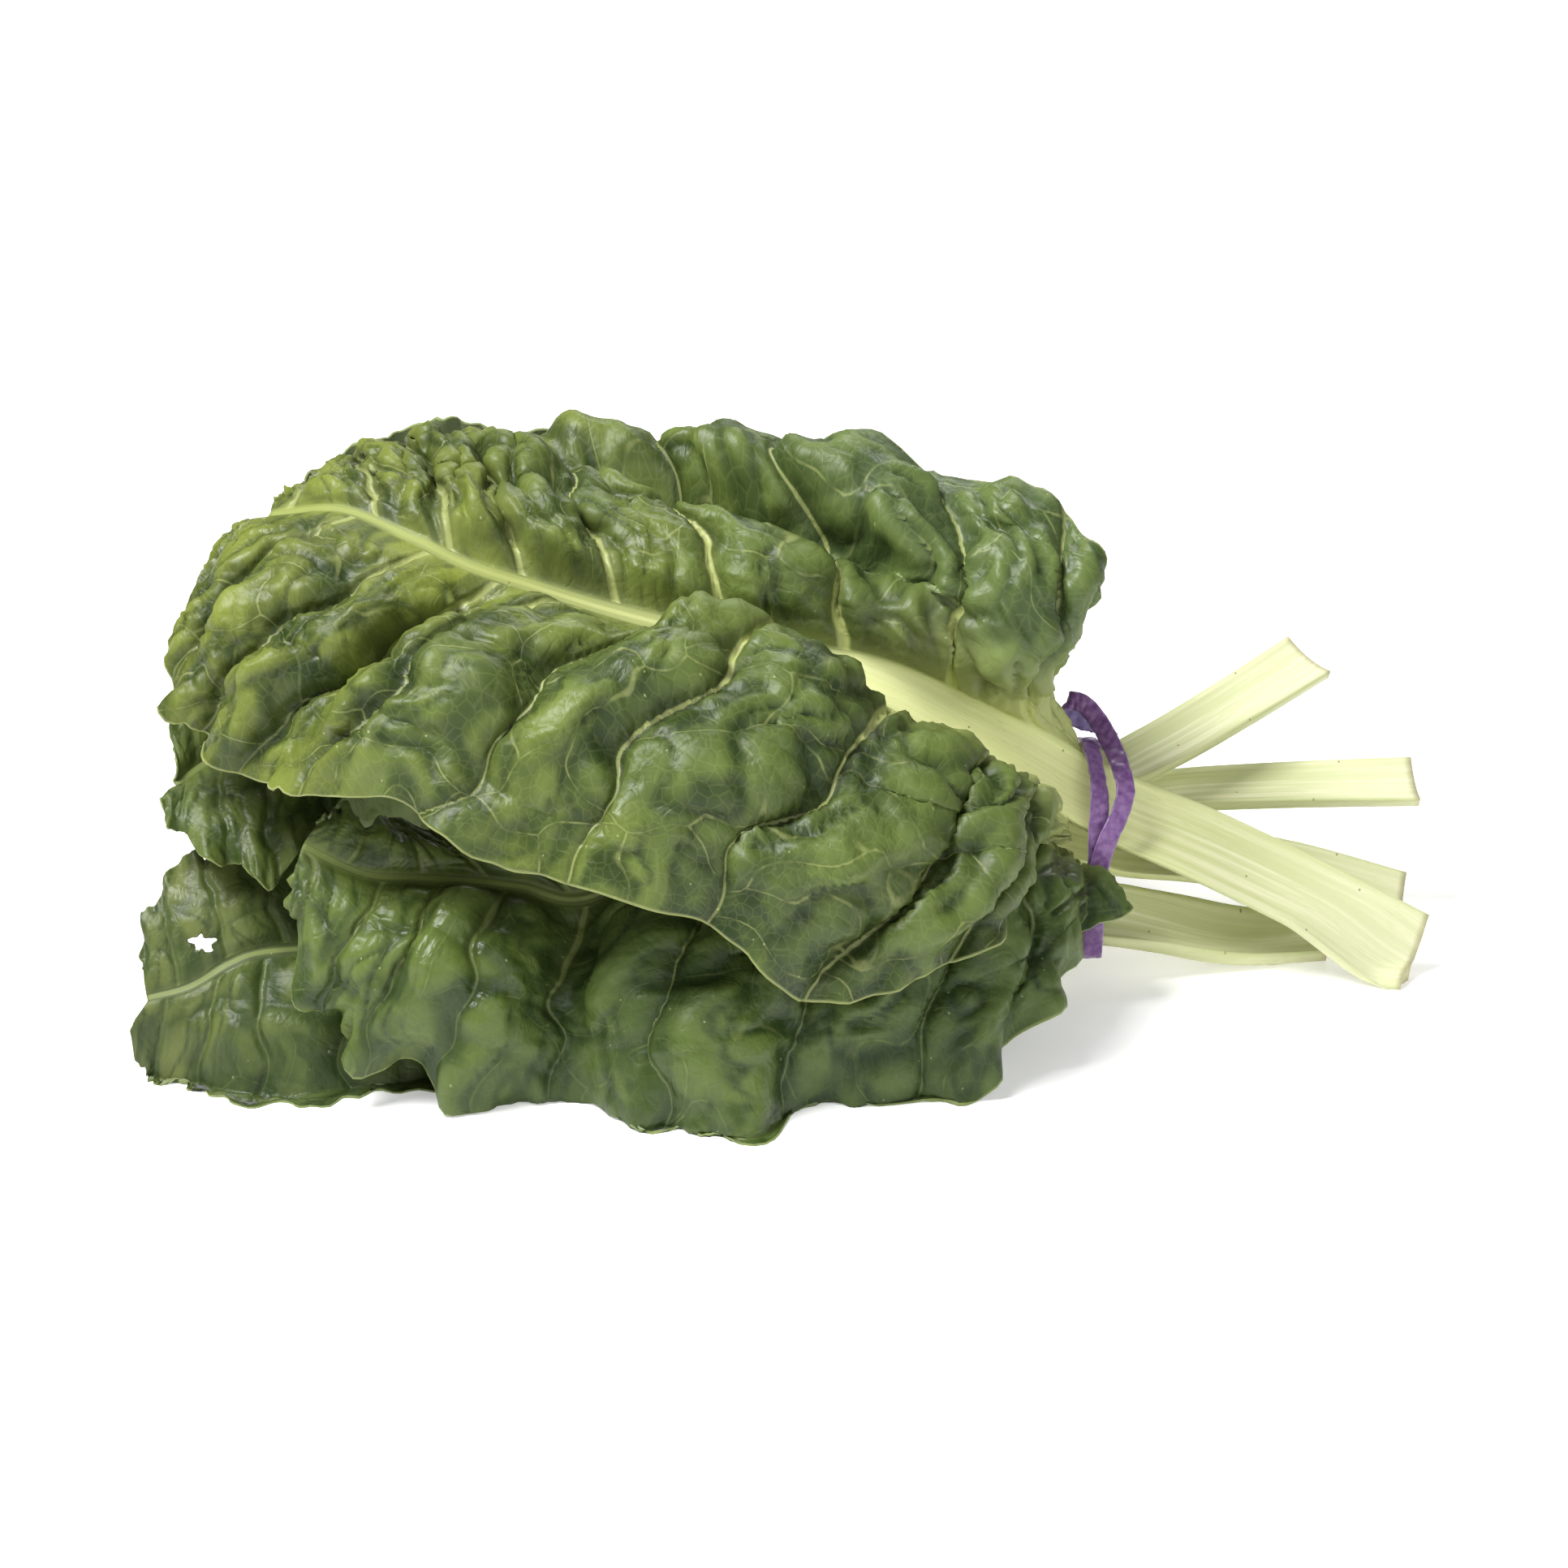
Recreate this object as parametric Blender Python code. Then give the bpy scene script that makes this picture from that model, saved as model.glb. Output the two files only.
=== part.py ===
"""A bunch of chard lying on a table: five crinkled leaves, each grown as one piece with its
pale stalk, held together by a narrow flat band. Lengths in this file are millimetres; the
bodies are built in metres. +X runs to the cut stalk ends, +Y to the back, +Z up."""
import bpy
import bmesh
import numpy as np

for item in list(bpy.data.objects):
    bpy.data.objects.remove(item)

MM = 0.001
BLADE_THICK = 0.8          # thickness of a leaf blade
RIB_DEEP = 5.0             # how far a full-width stalk swells below its channel
CHANNEL = 0.10             # depth of the stalk channel as a share of its width
RIB_HALF_COLS = 2          # columns of faces each side of the middle of a stalk
HOLE_CELL = 1              # cells torn out of the low leaf
LEAN = 0.25                # how far a pleat leans toward the tip, per unit of height
SWEEP = 0.20               # how far side veins sweep toward the tip, as a share of the leaf
SWEEP_FALL = 0.29          # how much of that sweep is lost from the base to the tip
SETTLE = 5.0               # height of leaf that its own weight presses flat on the table
MIDDLE = (3, 6.5, 0)         # middle of the bunch in the points below; it becomes the origin
FLAT_BELOW = 0.5           # undersides closer to the table than this touch it
BAND_WIDE = 6.0            # width of the flat tie
BAND_THICK = 0.8           # thickness of the flat tie

# A stalk point is (x, y, z, turn, width): turn is how far its channel faces the front, in
# degrees. A blade station is a rib point like that, then the point of the front margin and
# the point of the back margin, each (x, y, z, arch, bow) with the height of the arch of the
# blade between rib and margin and how far its middle bows toward the tip.
# veins: side veins and offset of the first, front then back. pleat, ruffle: heights.
# scallop: how far the outline of the blade swings in and out, scallops times along it.
# clear: share of the front half beside the rib that is kept low, toward the tip.
# on_edge: the leaf meets the table with the edge of its blade, not its face.
# folds: (side, line of (s, b), height, toward rib, toward margin). swells: (side, s, b,
# reach along, reach across, height). s runs from blade base to tip, b from rib to margin.
TOP_LEAF = dict(
    name="top_leaf", seed=11, cells=(7, 36, 9), veins=((9.5, -0.42), (9.0, 0.2)),
    pleat=10.0, ruffles=11, ruffle=2.6, scallops=9.5, scallop=2.0, clear=0.3,
    stalk=((198, 14, 10, 50, 24), (161, 17, 29, 47, 24), (130, 19, 44, 45, 24),
           (107, 20, 54, 45, 23)),
    blade=(
        ((90, 17, 64, 45, 22), (88, 4, 51, 0, 0), (89, 30, 78, 0, 0)),
        ((75, 10, 76, 42, 20), (68, -30, 62, 6, 0), (74, 24, 102, 4, 0)),
        ((53, 3, 91, 40, 19), (53, -72, 47, 18, 2), (96, 14, 144, 14, 4)),
        ((29, -4, 107, 38, 14), (10, -88, 39, 22, 4), (65, 40, 154, 14, 4)),
        ((1, -9, 118, 36, 8), (-31, -96, 70, 18, 6), (14, 58, 163, 11, 4)),
        ((-28, -13, 127, 35, 5.5), (-77, -93, 81, 14, 6), (-29, 60, 157, 9, 3)),
        ((-54, -15, 135, 35, 4.2), (-115, -80, 98, 13, 6), (-67, 58, 160, 8, 3)),
        ((-77, -16, 143, 35, 3.6), (-149, -62, 94, 12, 5), (-99, 54, 161, 7, 2)),
        ((-95, -15, 149, 35, 3), (-171, -46, 102, 12, 4), (-117, 50, 163, 7, 2)),
        ((-113, -9, 156, 33, 2.6), (-183, -32, 113, 10, 3), (-133, 45, 163, 6, 1)),
        ((-134, 4, 160, 30, 2.3), (-182, -14, 128, 8, 2), (-146, 38, 157, 4, 0)),
        ((-157, 17, 154, 28, 2), (-172, 6, 144, 3, 0), (-155, 29, 155, 1, 0))),
    folds=((-1, ((0.3, 0.14), (0.37, 0.1), (0.45, 0.14)), 11, 0.1, 0.3),
           (1, ((0.32, 0.6), (0.38, 0.72), (0.45, 0.84), (0.56, 0.98)), 8, 0.1, 0.2),
           (1, ((0.3, 0.36), (0.36, 0.48), (0.43, 0.6), (0.52, 0.74)), -16, 0.1, 0.13)),
    swells=((-1, 0.59, 0.5, 0.04, 0.5, 10), (-1, 0.66, 0.4, 0.03, 0.4, -8),
            (-1, 0.42, 0.45, 0.12, 0.3, 8)))
FRONT_LEAF = dict(
    name="front_leaf", seed=23, cells=(6, 32, 8), veins=((9.0, 0.1), (8.0, 0.5)),
    pleat=8.0, ruffles=12, ruffle=4.0, scallops=9.0, scallop=4.0,
    stalk=((197, 37, 17, 30, 20), (160, 37, 28, 30, 20), (130, 36, 33, 30, 20),
           (106, 34, 36, 31, 20)),
    blade=(
        ((90, 26, 43, 33, 19), (88, 3, 38, 0, 0), (88, 42, 54, 0, 0)),
        ((72, 13, 55, 38, 17), (103, -9, 34.5, 2, 0), (70, 26, 66, 2, 0)),
        ((52, 0, 61, 42, 14), (79, -46, 23, 14, 0), (45, 16, 74, 3, 0)),
        ((28, -12, 65, 45, 11), (58, -74, 5, 14, 2), (15, 3, 82, 4, 0)),
        ((0, -25, 66, 47, 8), (18, -78, -2, 14, 3), (-15, -10, 82, 4, 0)),
        ((-30, -38, 66, 48, 5.5), (-23, -102, -5, 14, 4), (-45, -22, 80, 4, 0)),
        ((-60, -47, 54, 48, 4), (-60, -76, -4, 12, 4), (-78, -32, 76, 4, 0)),
        ((-79, -50, 59, 48, 3.2), (-91, -82, 5, 12, 4), (-103, -36, 75, 4, 0)),
        ((-96, -52, 62, 48, 2.8), (-118, -78, 15, 11, 3), (-118, -40, 74, 4, 0)),
        ((-109, -55, 64, 48, 2.5), (-137, -74, 25, 10, 3), (-118, -46, 77, 4, 0)),
        ((-125, -59, 67, 48, 2.2), (-147, -68, 50, 6, 1), (-129, -49, 83, 3, 0)),
        ((-143, -59, 76, 48, 2), (-146, -62, 68, 1, 0), (-138, -54, 83, 1, 0))),
    folds=(), swells=((-1, 0.7, 0.45, 0.1, 0.35, 7), (-1, 0.56, 0.4, 0.05, 0.4, -8)))
SIDE_LEAF = dict(
    name="side_leaf", seed=37, cells=(6, 24, 6), veins=((8.0, 0.3), (8.0, 0.8)),
    pleat=5.0, ruffles=10, ruffle=2.5, scallops=9.0, scallop=2.5,
    stalk=((203, 66, 46, 20, 20), (158, 63, 46, 14, 20), (122, 60, 45, 10, 20),
           (104, 58, 41, 6, 20)),
    blade=(
        ((86, 55, 44, 10, 18), (85, 38, 42, 0, 0), (84, 72, 48, 0, 0)),
        ((60, 48, 56, 15, 16), (56, 28, 53, 3, 0), (56, 66, 62, 3, 0)),
        ((25, 42, 72, 18, 13), (20, 20, 68, 4, 0), (18, 75, 80, 4, 0)),
        ((-15, 36, 82, 18, 10), (-22, 8, 78, 5, 2), (-25, 76, 90, 5, 2)),
        ((-60, 28, 90, 18, 7.5), (-66, -4, 84, 5, 2), (-72, 66, 100, 5, 3)),
        ((-100, 18, 96, 20, 5), (-105, -15, 88, 5, 2), (-110, 52, 110, 5, 3)),
        ((-132, 8, 97, 25, 3.8), (-135, -28, 78, 5, 2), (-140, 35, 115, 5, 2)),
        ((-155, 0, 93, 30, 3), (-151, -48, 61, 5, 2), (-162, 20, 112, 4, 1)),
        ((-168, -8, 88, 35, 2.6), (-166, -48, 65, 4, 1), (-178, 5, 108, 3, 0)),
        ((-178, -16, 84, 40, 2.3), (-182, -42, 72, 3, 0), (-186, -12, 96, 2, 0)),
        ((-184, -24, 82, 42, 2), (-188, -34, 80, 1, 0), (-184, -22, 88, 1, 0))),
    folds=(), swells=())
LOW_LEAF = dict(
    name="low_leaf", seed=41, cells=(6, 26, 6), veins=((8.0, 0.35), (8.0, 0.6)),
    pleat=5.0, ruffles=11, ruffle=2.5, scallops=8.0, scallop=2.5,
    stalk=((170, 35, 9, 8, 20), (142, 28, 12, 18, 20), (118, 21, 18, 27, 20),
           (103, 17, 21.5, 33, 20)),
    blade=(
        ((86, 15, 22, 30, 18), (85, 0, 13, 0, 0), (85, 30, 31, 0, 0)),
        ((60, 14, 20, 25, 16), (55, -10, 6, 3, 0), (55, 34, 32, 3, 0)),
        ((25, 8, 19, 25, 13), (20, -26, 2, 5, 2), (15, 42, 36, 4, 2)),
        ((-15, 0, 19, 25, 10), (-20, -40, 0, 6, 3), (-25, 40, 38, 5, 3)),
        ((-60, -12, 22, 28, 7.5), (-62, -57, -8, 6, 3), (-70, 28, 42, 5, 3)),
        ((-100, -26, 28, 35, 5), (-100, -66, -10, 6, 2), (-112, 5, 50, 5, 3)),
        ((-130, -38, 34, 42, 3.8), (-136, -76, -12, 6, 2), (-145, -12, 60, 4, 2)),
        ((-156, -46, 36, 45, 3), (-158, -79, -12, 5, 1), (-166, -24, 63, 4, 1)),
        ((-167, -50, 34, 46, 2.6), (-180, -66, -8, 4, 1), (-180, -30, 60, 4, 0)),
        ((-179, -54, 28, 46, 2.3), (-193, -60, 2, 2, 0), (-192, -40, 50, 2, 0)),
        ((-192, -56, 25, 46, 2), (-197, -61, 17, 1, 0), (-194, -49, 36, 1, 0))),
    folds=(), swells=(), hole=(1, 0.83, 0.24))
BACK_LEAF = dict(
    name="back_leaf", seed=53, cells=(6, 26, 7), veins=((8.0, 0.4), (8.0, 0.9)),
    pleat=6.0, ruffles=10, ruffle=3.0, scallops=8.0, scallop=3.0,
    stalk=((170, 92, 79, 25, 20), (143, 73, 69, 18, 20), (119, 57, 61, 14, 20),
           (103, 50, 57, 10, 20)),
    blade=(
        ((86, 50, 62, 4, 18), (86, 34, 66, 0, 0), (85, 68, 62, 0, 0)),
        ((62, 58, 76, -10, 16), (77, 46, 107, 4, 0), (58, 84, 58, 4, 0)),
        ((30, 70, 92, -25, 13), (76, 62, 117, 4, 2), (22, 102, 48, 5, 2)),
        ((-5, 82, 100, -40, 10), (5, 78, 150, 4, 3), (-12, 110, 30, 6, 3)),
        ((-45, 90, 102, -50, 7.5), (-50, 78, 158, 4, 3), (-50, 110, 2, 6, 3)),
        ((-85, 90, 102, -52, 5.5), (-92, 70, 164, 4, 2), (-95, 105, -8, 5, 2)),
        ((-115, 84, 98, -50, 4), (-115, 70, 165, 4, 2), (-128, 94, -5, 5, 2)),
        ((-138, 74, 92, -48, 3.2), (-136, 62, 156, 4, 1), (-150, 78, 12, 6, 1)),
        ((-152, 64, 88, -45, 2.6), (-150, 52, 148, 3, 0), (-163, 64, 35, 4, 0)),
        ((-168, 52, 88, -42, 2), (-165, 48, 108, 1, 0), (-169, 55, 66, 1, 0))),
    folds=(), swells=(), on_edge=True)


# The middle line of the tie, (x, y, z) and the way its width points: bottom, up the front,
# over the top, down the back; then the second turn, which lies over the first one below
# and swings out to the right above, with the slack loop on top.
TIE_STEPS = 96
TIE_ROUTE = (
    (97, 24, 14, 1, 0, 0), (96.5, 12, 11.5, 1, 0, 0), (96.5, 5.5, 15.5, 1, 0, 0),
    (97, 4.6, 30, 1, 0, 0), (97.5, 5, 44, 1, 0, -0.1), (97.5, 6.2, 54, 0.9, 0.1, -0.3),
    (98, 9, 63, 0.87, 0.1, -0.35), (97.5, 15.5, 69.5, 0.8, 0.2, -0.5), (96, 24, 75, 0.9, 0, -0.4),
    (96, 32, 73.5, 1, 0, -0.2), (96.5, 45, 68, 1, 0, 0), (96.5, 60, 63.5, 1, 0, 0),
    (97, 68, 56, 1, 0, 0), (96.5, 71, 45, 1, 0, 0), (96.5, 68, 37, 1, 0, 0),
    (97, 58, 28, 1, 0, 0), (97.5, 46, 20.5, 1, 0, 0), (97.5, 35, 14.5, 1, 0, 0),
    (97, 24, 11.6, 1, 0, 0), (96.5, 11.5, 9.4, 1, 0, 0), (96.5, 3.5, 14.3, 1, 0, 0),
    (97, 2.8, 30, 1, 0, 0), (98, 2.8, 43, 1, 0, -0.3), (100.5, 3.4, 52, 0.8, 0, -0.7),
    (104, 6, 59, 0.9, 0.2, -0.4), (106, 9.5, 66, 0.9, 0.3, -0.1), (104.5, 17, 71.5, 0.8, 0.4, 0.1),
    (102, 25, 75.5, 0.8, 0.2, 0.4), (98.5, 31, 80.5, 0.7, 0, 0.7), (94, 34, 85, 0.6, 0, 0.8),
    (89.5, 36, 85.5, 0.5, 0, 0.85), (88.5, 38.5, 81.5, 0.6, 0, 0.8), (93, 40.5, 77.5, 0.7, 0, 0.7),
    (99, 44, 74, 0.9, 0, 0.4), (102.5, 51, 69, 1, 0, 0), (103.5, 60, 64.5, 1, 0, 0),
    (103.5, 68, 56, 1, 0, 0), (104, 71.5, 46, 1, 0, 0), (104, 69, 39, 1, 0, 0),
    (103, 58, 33.5, 1, 0, 0), (100.5, 46, 26, 1, 0, 0), (98.5, 35, 19.5, 1, 0, 0))


def smooth(low, high, x):
    f = np.clip((x - low) / (high - low), 0, 1)
    return f * f * (3 - 2 * f)


def unit(v):
    return v / np.maximum(np.linalg.norm(v, axis=-1, keepdims=True), 1e-9)


def through(points, at):
    """The smooth curve through evenly numbered points, read at values from 0 to 1."""
    points = np.asarray(points, float)
    slopes = np.gradient(points, axis=0)
    x = np.clip(at, 0, 1) * (len(points) - 1)
    i = np.minimum(x.astype(int), len(points) - 2)
    f = (x - i)[:, None]
    return ((1 + 2 * f) * (1 - f) ** 2 * points[i] + f * (1 - f) ** 2 * slopes[i]
            + f * f * (3 - 2 * f) * points[i + 1] + f * f * (f - 1) * slopes[i + 1])


def relief(leaf, s, b, side, span):
    """Height of pleats, folds and ruffles above the smooth blade."""
    rng = np.random.default_rng(leaf["seed"] + side)
    count, offset = leaf["veins"][(side + 1) // 2]
    phase = count * (s - (SWEEP - SWEEP_FALL * s) * b) + offset + 3.0
    band = np.clip(np.floor(phase).astype(int), 0, 15)
    gain = rng.uniform(0.65, 1.2, 16)[band]
    turn = rng.uniform(0, 1, 16)[band]
    bumps = rng.uniform(1.6, 3.2, 16)[band]
    size = smooth(0, 80, span) * smooth(-0.02, 0.12, s) * (1 - 0.5 * smooth(0.65, 1, s))
    hill = np.abs(np.sin(np.pi * phase)) ** 0.7
    puff = np.abs(np.sin(np.pi * (bumps * b + turn))) ** 0.7
    d = leaf["pleat"] * gain * hill * (0.5 + 0.5 * puff)
    clear = leaf.get("clear", 0) * smooth(0.42, 0.5, s) * (side < 0)
    d = d * size * smooth(0, 0.12 + clear, b) * (1 - 0.55 * smooth(0.65, 1, b))
    start = rng.uniform(0, 6.28)
    wave = np.sin(2 * np.pi * leaf["ruffles"] * s + start + 0.9 * np.sin(11 * s + start))
    d = d + leaf["ruffle"] * wave * smooth(0.68, 1, b) * smooth(0, 0.06, s) * size
    for where, line, high, inner, outer in leaf["folds"]:
        if where == side:
            ls, lb = np.array(line).T
            u = b - np.interp(s, ls, lb)
            ends = smooth(ls[0] - 0.06, ls[0] + 0.03, s) * (1 - smooth(ls[-1] - 0.03, ls[-1] + 0.06, s))
            shape = ends * np.exp(-(u / np.where(u < 0, inner, outer)) ** 2) * smooth(0, 0.06, b)
            d = d * (1 - 0.85 * shape * (high < 0)) + high * shape
    for where, s0, b0, along, across, high in leaf["swells"]:
        if where == side:
            d = d + high * np.exp(-((s - s0) / along) ** 2 - ((b - b0) / across) ** 2) * smooth(0, 0.08, b)
    return d


def leaf_sheet(leaf, stalk_rows, blade_rows, rib_cols, blade_cols):
    """Upper surface of a leaf as rows of points, its thickness, and which cells exist."""
    blade = leaf["blade"]
    ribs = np.array(list(leaf["stalk"]) + [station[0] for station in blade], float)
    base = len(leaf["stalk"]) / (len(ribs) - 1)
    at = np.concatenate([np.linspace(0, base, stalk_rows, endpoint=False),
                         np.linspace(base, 1, blade_rows + 1)])
    s = np.clip((at - base) / (1 - base), 0, 1)
    rib = through(ribs, at)
    width = rib[:, 4]
    along = unit(np.gradient(rib[:, :3], axis=0))
    turn = np.radians(rib[:, 3])
    up = np.stack([0 * turn, -np.sin(turn), np.cos(turn)], 1)
    up = unit(up - (up * along).sum(1, keepdims=True) * along)
    across = np.cross(along, up)
    half = np.linspace(-1, 1, 2 * rib_cols + 1)
    lip = CHANNEL * width * (1 - smooth(0, 0.75, s))
    middle = (rib[:, None, :3] + across[:, None] * (half[None] * width[:, None] / 2)[..., None]
              + up[:, None] * (np.abs(half)[None] ** 2.2 * lip[:, None])[..., None])
    b = np.linspace(0, 1, blade_cols + 1)
    sides = []
    for side in (-1, 1):
        margin = through([station[(side + 3) // 2] for station in blade], s)
        root = middle[:, (side + 1) * rib_cols]
        chord = margin[:, :3] - root
        span = np.linalg.norm(chord, axis=1, keepdims=True)
        lift = unit(np.cross(chord * side, along))
        arch = (4 * b * (1 - b))[None]
        swing = leaf["scallop"] * np.sin(2 * np.pi * leaf["scallops"] * s + leaf["seed"] + side)
        swing = swing * smooth(0, 0.08, s) * (1 - smooth(0.92, 1, s)) / np.maximum(span[:, 0], 20)
        reach = b[None] + swing[:, None] * b[None] ** 4
        p = (root[:, None] + chord[:, None] * reach[..., None]
             + lift[:, None] * (margin[:, 3:4] * arch)[..., None]
             + along[:, None] * (margin[:, 4:5] * arch)[..., None])
        down_rows = unit(np.gradient(p[s > 0], axis=0))
        down_rows = np.concatenate([np.repeat(down_rows[:1], (s <= 0).sum(), 0), down_rows])
        normal = unit(np.cross(np.gradient(p, axis=1) * side, down_rows))
        d = relief(leaf, s[:, None] + 0 * b[None], b[None] + 0 * s[:, None], side, span)
        lean = LEAN * np.clip(d, 0, None)
        p = p + normal * d[..., None] + down_rows * lean[..., None]
        sides.append(p[:, 1:])
    points = np.concatenate([sides[0][:, ::-1], middle, sides[1]], 1)
    fade = (width / width.max())[:, None]
    deep = RIB_DEEP * fade * np.sqrt(np.clip(1 - half ** 2, 0, 1))[None]
    thick = np.full(points.shape[:2], BLADE_THICK)
    thick[:, blade_cols:blade_cols + len(half)] += deep
    floor = 0 if leaf.get("on_edge") else thick
    z = points[..., 2] - floor
    points[..., 2] = floor + np.maximum(z - SETTLE * (1 - smooth(SETTLE, 4 * SETTLE, z)), 0)
    cells = np.ones((points.shape[0] - 1, points.shape[1] - 1), bool)
    cells[:stalk_rows, :blade_cols] = False
    cells[:stalk_rows, -blade_cols:] = False
    if "hole" in leaf:
        side, hs, hb = leaf["hole"]
        row = stalk_rows + int(hs * blade_rows)
        col = blade_cols + 2 * rib_cols + int(hb * blade_cols)
        cells[row:row + HOLE_CELL, col:col + HOLE_CELL] = False
    return points, thick, cells


def leaf_body(leaf, colour):
    stalk_rows, blade_rows, blade_cols = leaf["cells"]
    points, thick, cells = leaf_sheet(leaf, stalk_rows, blade_rows, RIB_HALF_COLS, blade_cols)
    rows, cols = thick.shape
    mesh = bpy.data.meshes.new(leaf["name"])
    bm = bmesh.new()
    bmesh.ops.create_grid(bm, x_segments=cols - 1, y_segments=rows - 1, size=1)
    weight = bm.verts.layers.deform.verify()
    bm.verts.ensure_lookup_table()
    for vert, place, deep in zip(bm.verts, points.reshape(-1, 3), thick.reshape(-1)):
        vert.co = (place - MIDDLE) * MM
        vert[weight][0] = deep / thick.max()
    bm.faces.ensure_lookup_table()
    gone = [face for face, kept in zip(bm.faces, cells.reshape(-1)) if not kept]
    bmesh.ops.delete(bm, geom=gone, context="FACES")
    bmesh.ops.triangulate(bm, faces=bm.faces[:], quad_method="SHORT_EDGE")
    bm.to_mesh(mesh)
    bm.free()
    body = bpy.data.objects.new(leaf["name"], mesh)
    bpy.context.collection.objects.link(body)
    body.vertex_groups.new(name="thickness")
    shell = body.modifiers.new("thickness", "SOLIDIFY")
    shell.thickness = thick.max() * MM
    shell.offset = -1
    shell.vertex_group = "thickness"
    shell.use_rim = True
    bpy.context.view_layer.objects.active = body
    bpy.ops.object.modifier_apply(modifier=shell.name)
    for vert in body.data.vertices:
        if vert.co.z < FLAT_BELOW * MM:
            vert.co.z = 0
    paint(body, colour, 0.45)
    return body


def tie_body(colour):
    """A flat band, closed on itself after two turns, with one slack loop on top."""
    route = np.array(TIE_ROUTE, float)
    count = len(route)
    path = through(np.concatenate([route[-3:], route, route[:4]]),
                   np.linspace(3, 3 + count, TIE_STEPS + 1) / (count + 6))
    path[-1] = path[0]
    along = unit(np.roll(path[:-1, :3], -1, 0) - np.roll(path[:-1, :3], 1, 0))
    along = np.concatenate([along, along[:1]])
    wide = path[:, 3:] - (path[:, 3:] * along).sum(1, keepdims=True) * along
    wide = unit(wide) * BAND_WIDE / 2
    points = path[:, None, :3] + wide[:, None] * np.array([-1, 0, 1])[None, :, None]
    mesh = bpy.data.meshes.new("tie")
    bm = bmesh.new()
    bmesh.ops.create_grid(bm, x_segments=2, y_segments=TIE_STEPS, size=1)
    for vert, place in zip(bm.verts, points.reshape(-1, 3)):
        vert.co = (place - MIDDLE) * MM
    bmesh.ops.remove_doubles(bm, verts=bm.verts[:], dist=0.00001)
    bmesh.ops.triangulate(bm, faces=bm.faces[:], quad_method="SHORT_EDGE")
    bm.to_mesh(mesh)
    bm.free()
    body = bpy.data.objects.new("tie", mesh)
    bpy.context.collection.objects.link(body)
    shell = body.modifiers.new("thickness", "SOLIDIFY")
    shell.thickness = BAND_THICK * MM
    shell.offset = 0
    paint(body, colour, 0.35)
    return body


def paint(body, colour, rough):
    material = bpy.data.materials.new(body.name)
    material.use_nodes = True
    shader = material.node_tree.nodes["Principled BSDF"]
    shader.inputs["Base Color"].default_value = (*colour, 1)
    shader.inputs["Roughness"].default_value = rough
    body.data.materials.append(material)


leaf_body(TOP_LEAF, (0.13, 0.24, 0.04))
leaf_body(FRONT_LEAF, (0.09, 0.19, 0.04))
leaf_body(SIDE_LEAF, (0.08, 0.17, 0.04))
leaf_body(LOW_LEAF, (0.07, 0.15, 0.04))
leaf_body(BACK_LEAF, (0.06, 0.14, 0.04))
tie_body((0.16, 0.05, 0.25))
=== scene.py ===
"""How a tied bunch of chard looks: five crinkled leaves with pale stalks, and the flat band
that holds them. The leaves are worked out here in millimetres and their meshes are in metres."""
import math
import bpy
import bmesh
import numpy as np
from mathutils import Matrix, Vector


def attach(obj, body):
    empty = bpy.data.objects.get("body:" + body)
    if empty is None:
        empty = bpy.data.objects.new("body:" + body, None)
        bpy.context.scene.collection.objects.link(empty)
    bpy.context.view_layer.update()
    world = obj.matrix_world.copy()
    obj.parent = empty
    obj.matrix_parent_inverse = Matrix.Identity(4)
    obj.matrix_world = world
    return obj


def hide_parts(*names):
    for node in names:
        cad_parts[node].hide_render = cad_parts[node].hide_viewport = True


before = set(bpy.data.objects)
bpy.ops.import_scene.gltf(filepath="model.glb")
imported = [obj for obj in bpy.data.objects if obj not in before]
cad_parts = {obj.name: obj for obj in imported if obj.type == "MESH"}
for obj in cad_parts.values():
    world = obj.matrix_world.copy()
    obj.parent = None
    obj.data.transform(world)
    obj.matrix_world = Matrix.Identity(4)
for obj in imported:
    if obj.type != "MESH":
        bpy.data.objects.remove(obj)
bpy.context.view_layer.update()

# The top leaf is the biggest. It grew as one piece: a thick channelled stalk that runs on as
# the midrib, and a thin crinkled blade to each side of it. It lies over all the others, its
# stalk held by the tie.
MM = 0.001
MIDDLE = (3, 6.5, 0)       # middle of the bunch in the points below, which is the origin
BLADE_THICK = 0.7
RIB_DEEP = 5.0             # how far a full-width stalk swells below its channel
CHANNEL = 0.10             # depth of the stalk channel as a share of its width
LEAN = 0.25                # how far a pleat leans toward the tip, per unit of height
SWEEP = 0.20               # how far side veins sweep toward the tip, as a share of the leaf
SWEEP_FALL = 0.29          # how much of that sweep is lost from the base to the tip
SETTLE = 5.0               # height of leaf that its own weight presses flat on the table
FLAT_BELOW = 0.5           # height under which a blade lies flat on the table
BANDS = 16                 # more side veins than a leaf has, each with a pleat of its own
WANDER = 0.09              # how far a side vein wanders, as a share of the gap between two
APART = 400                # mm between the patterns of two leaves, so that they differ

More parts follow.
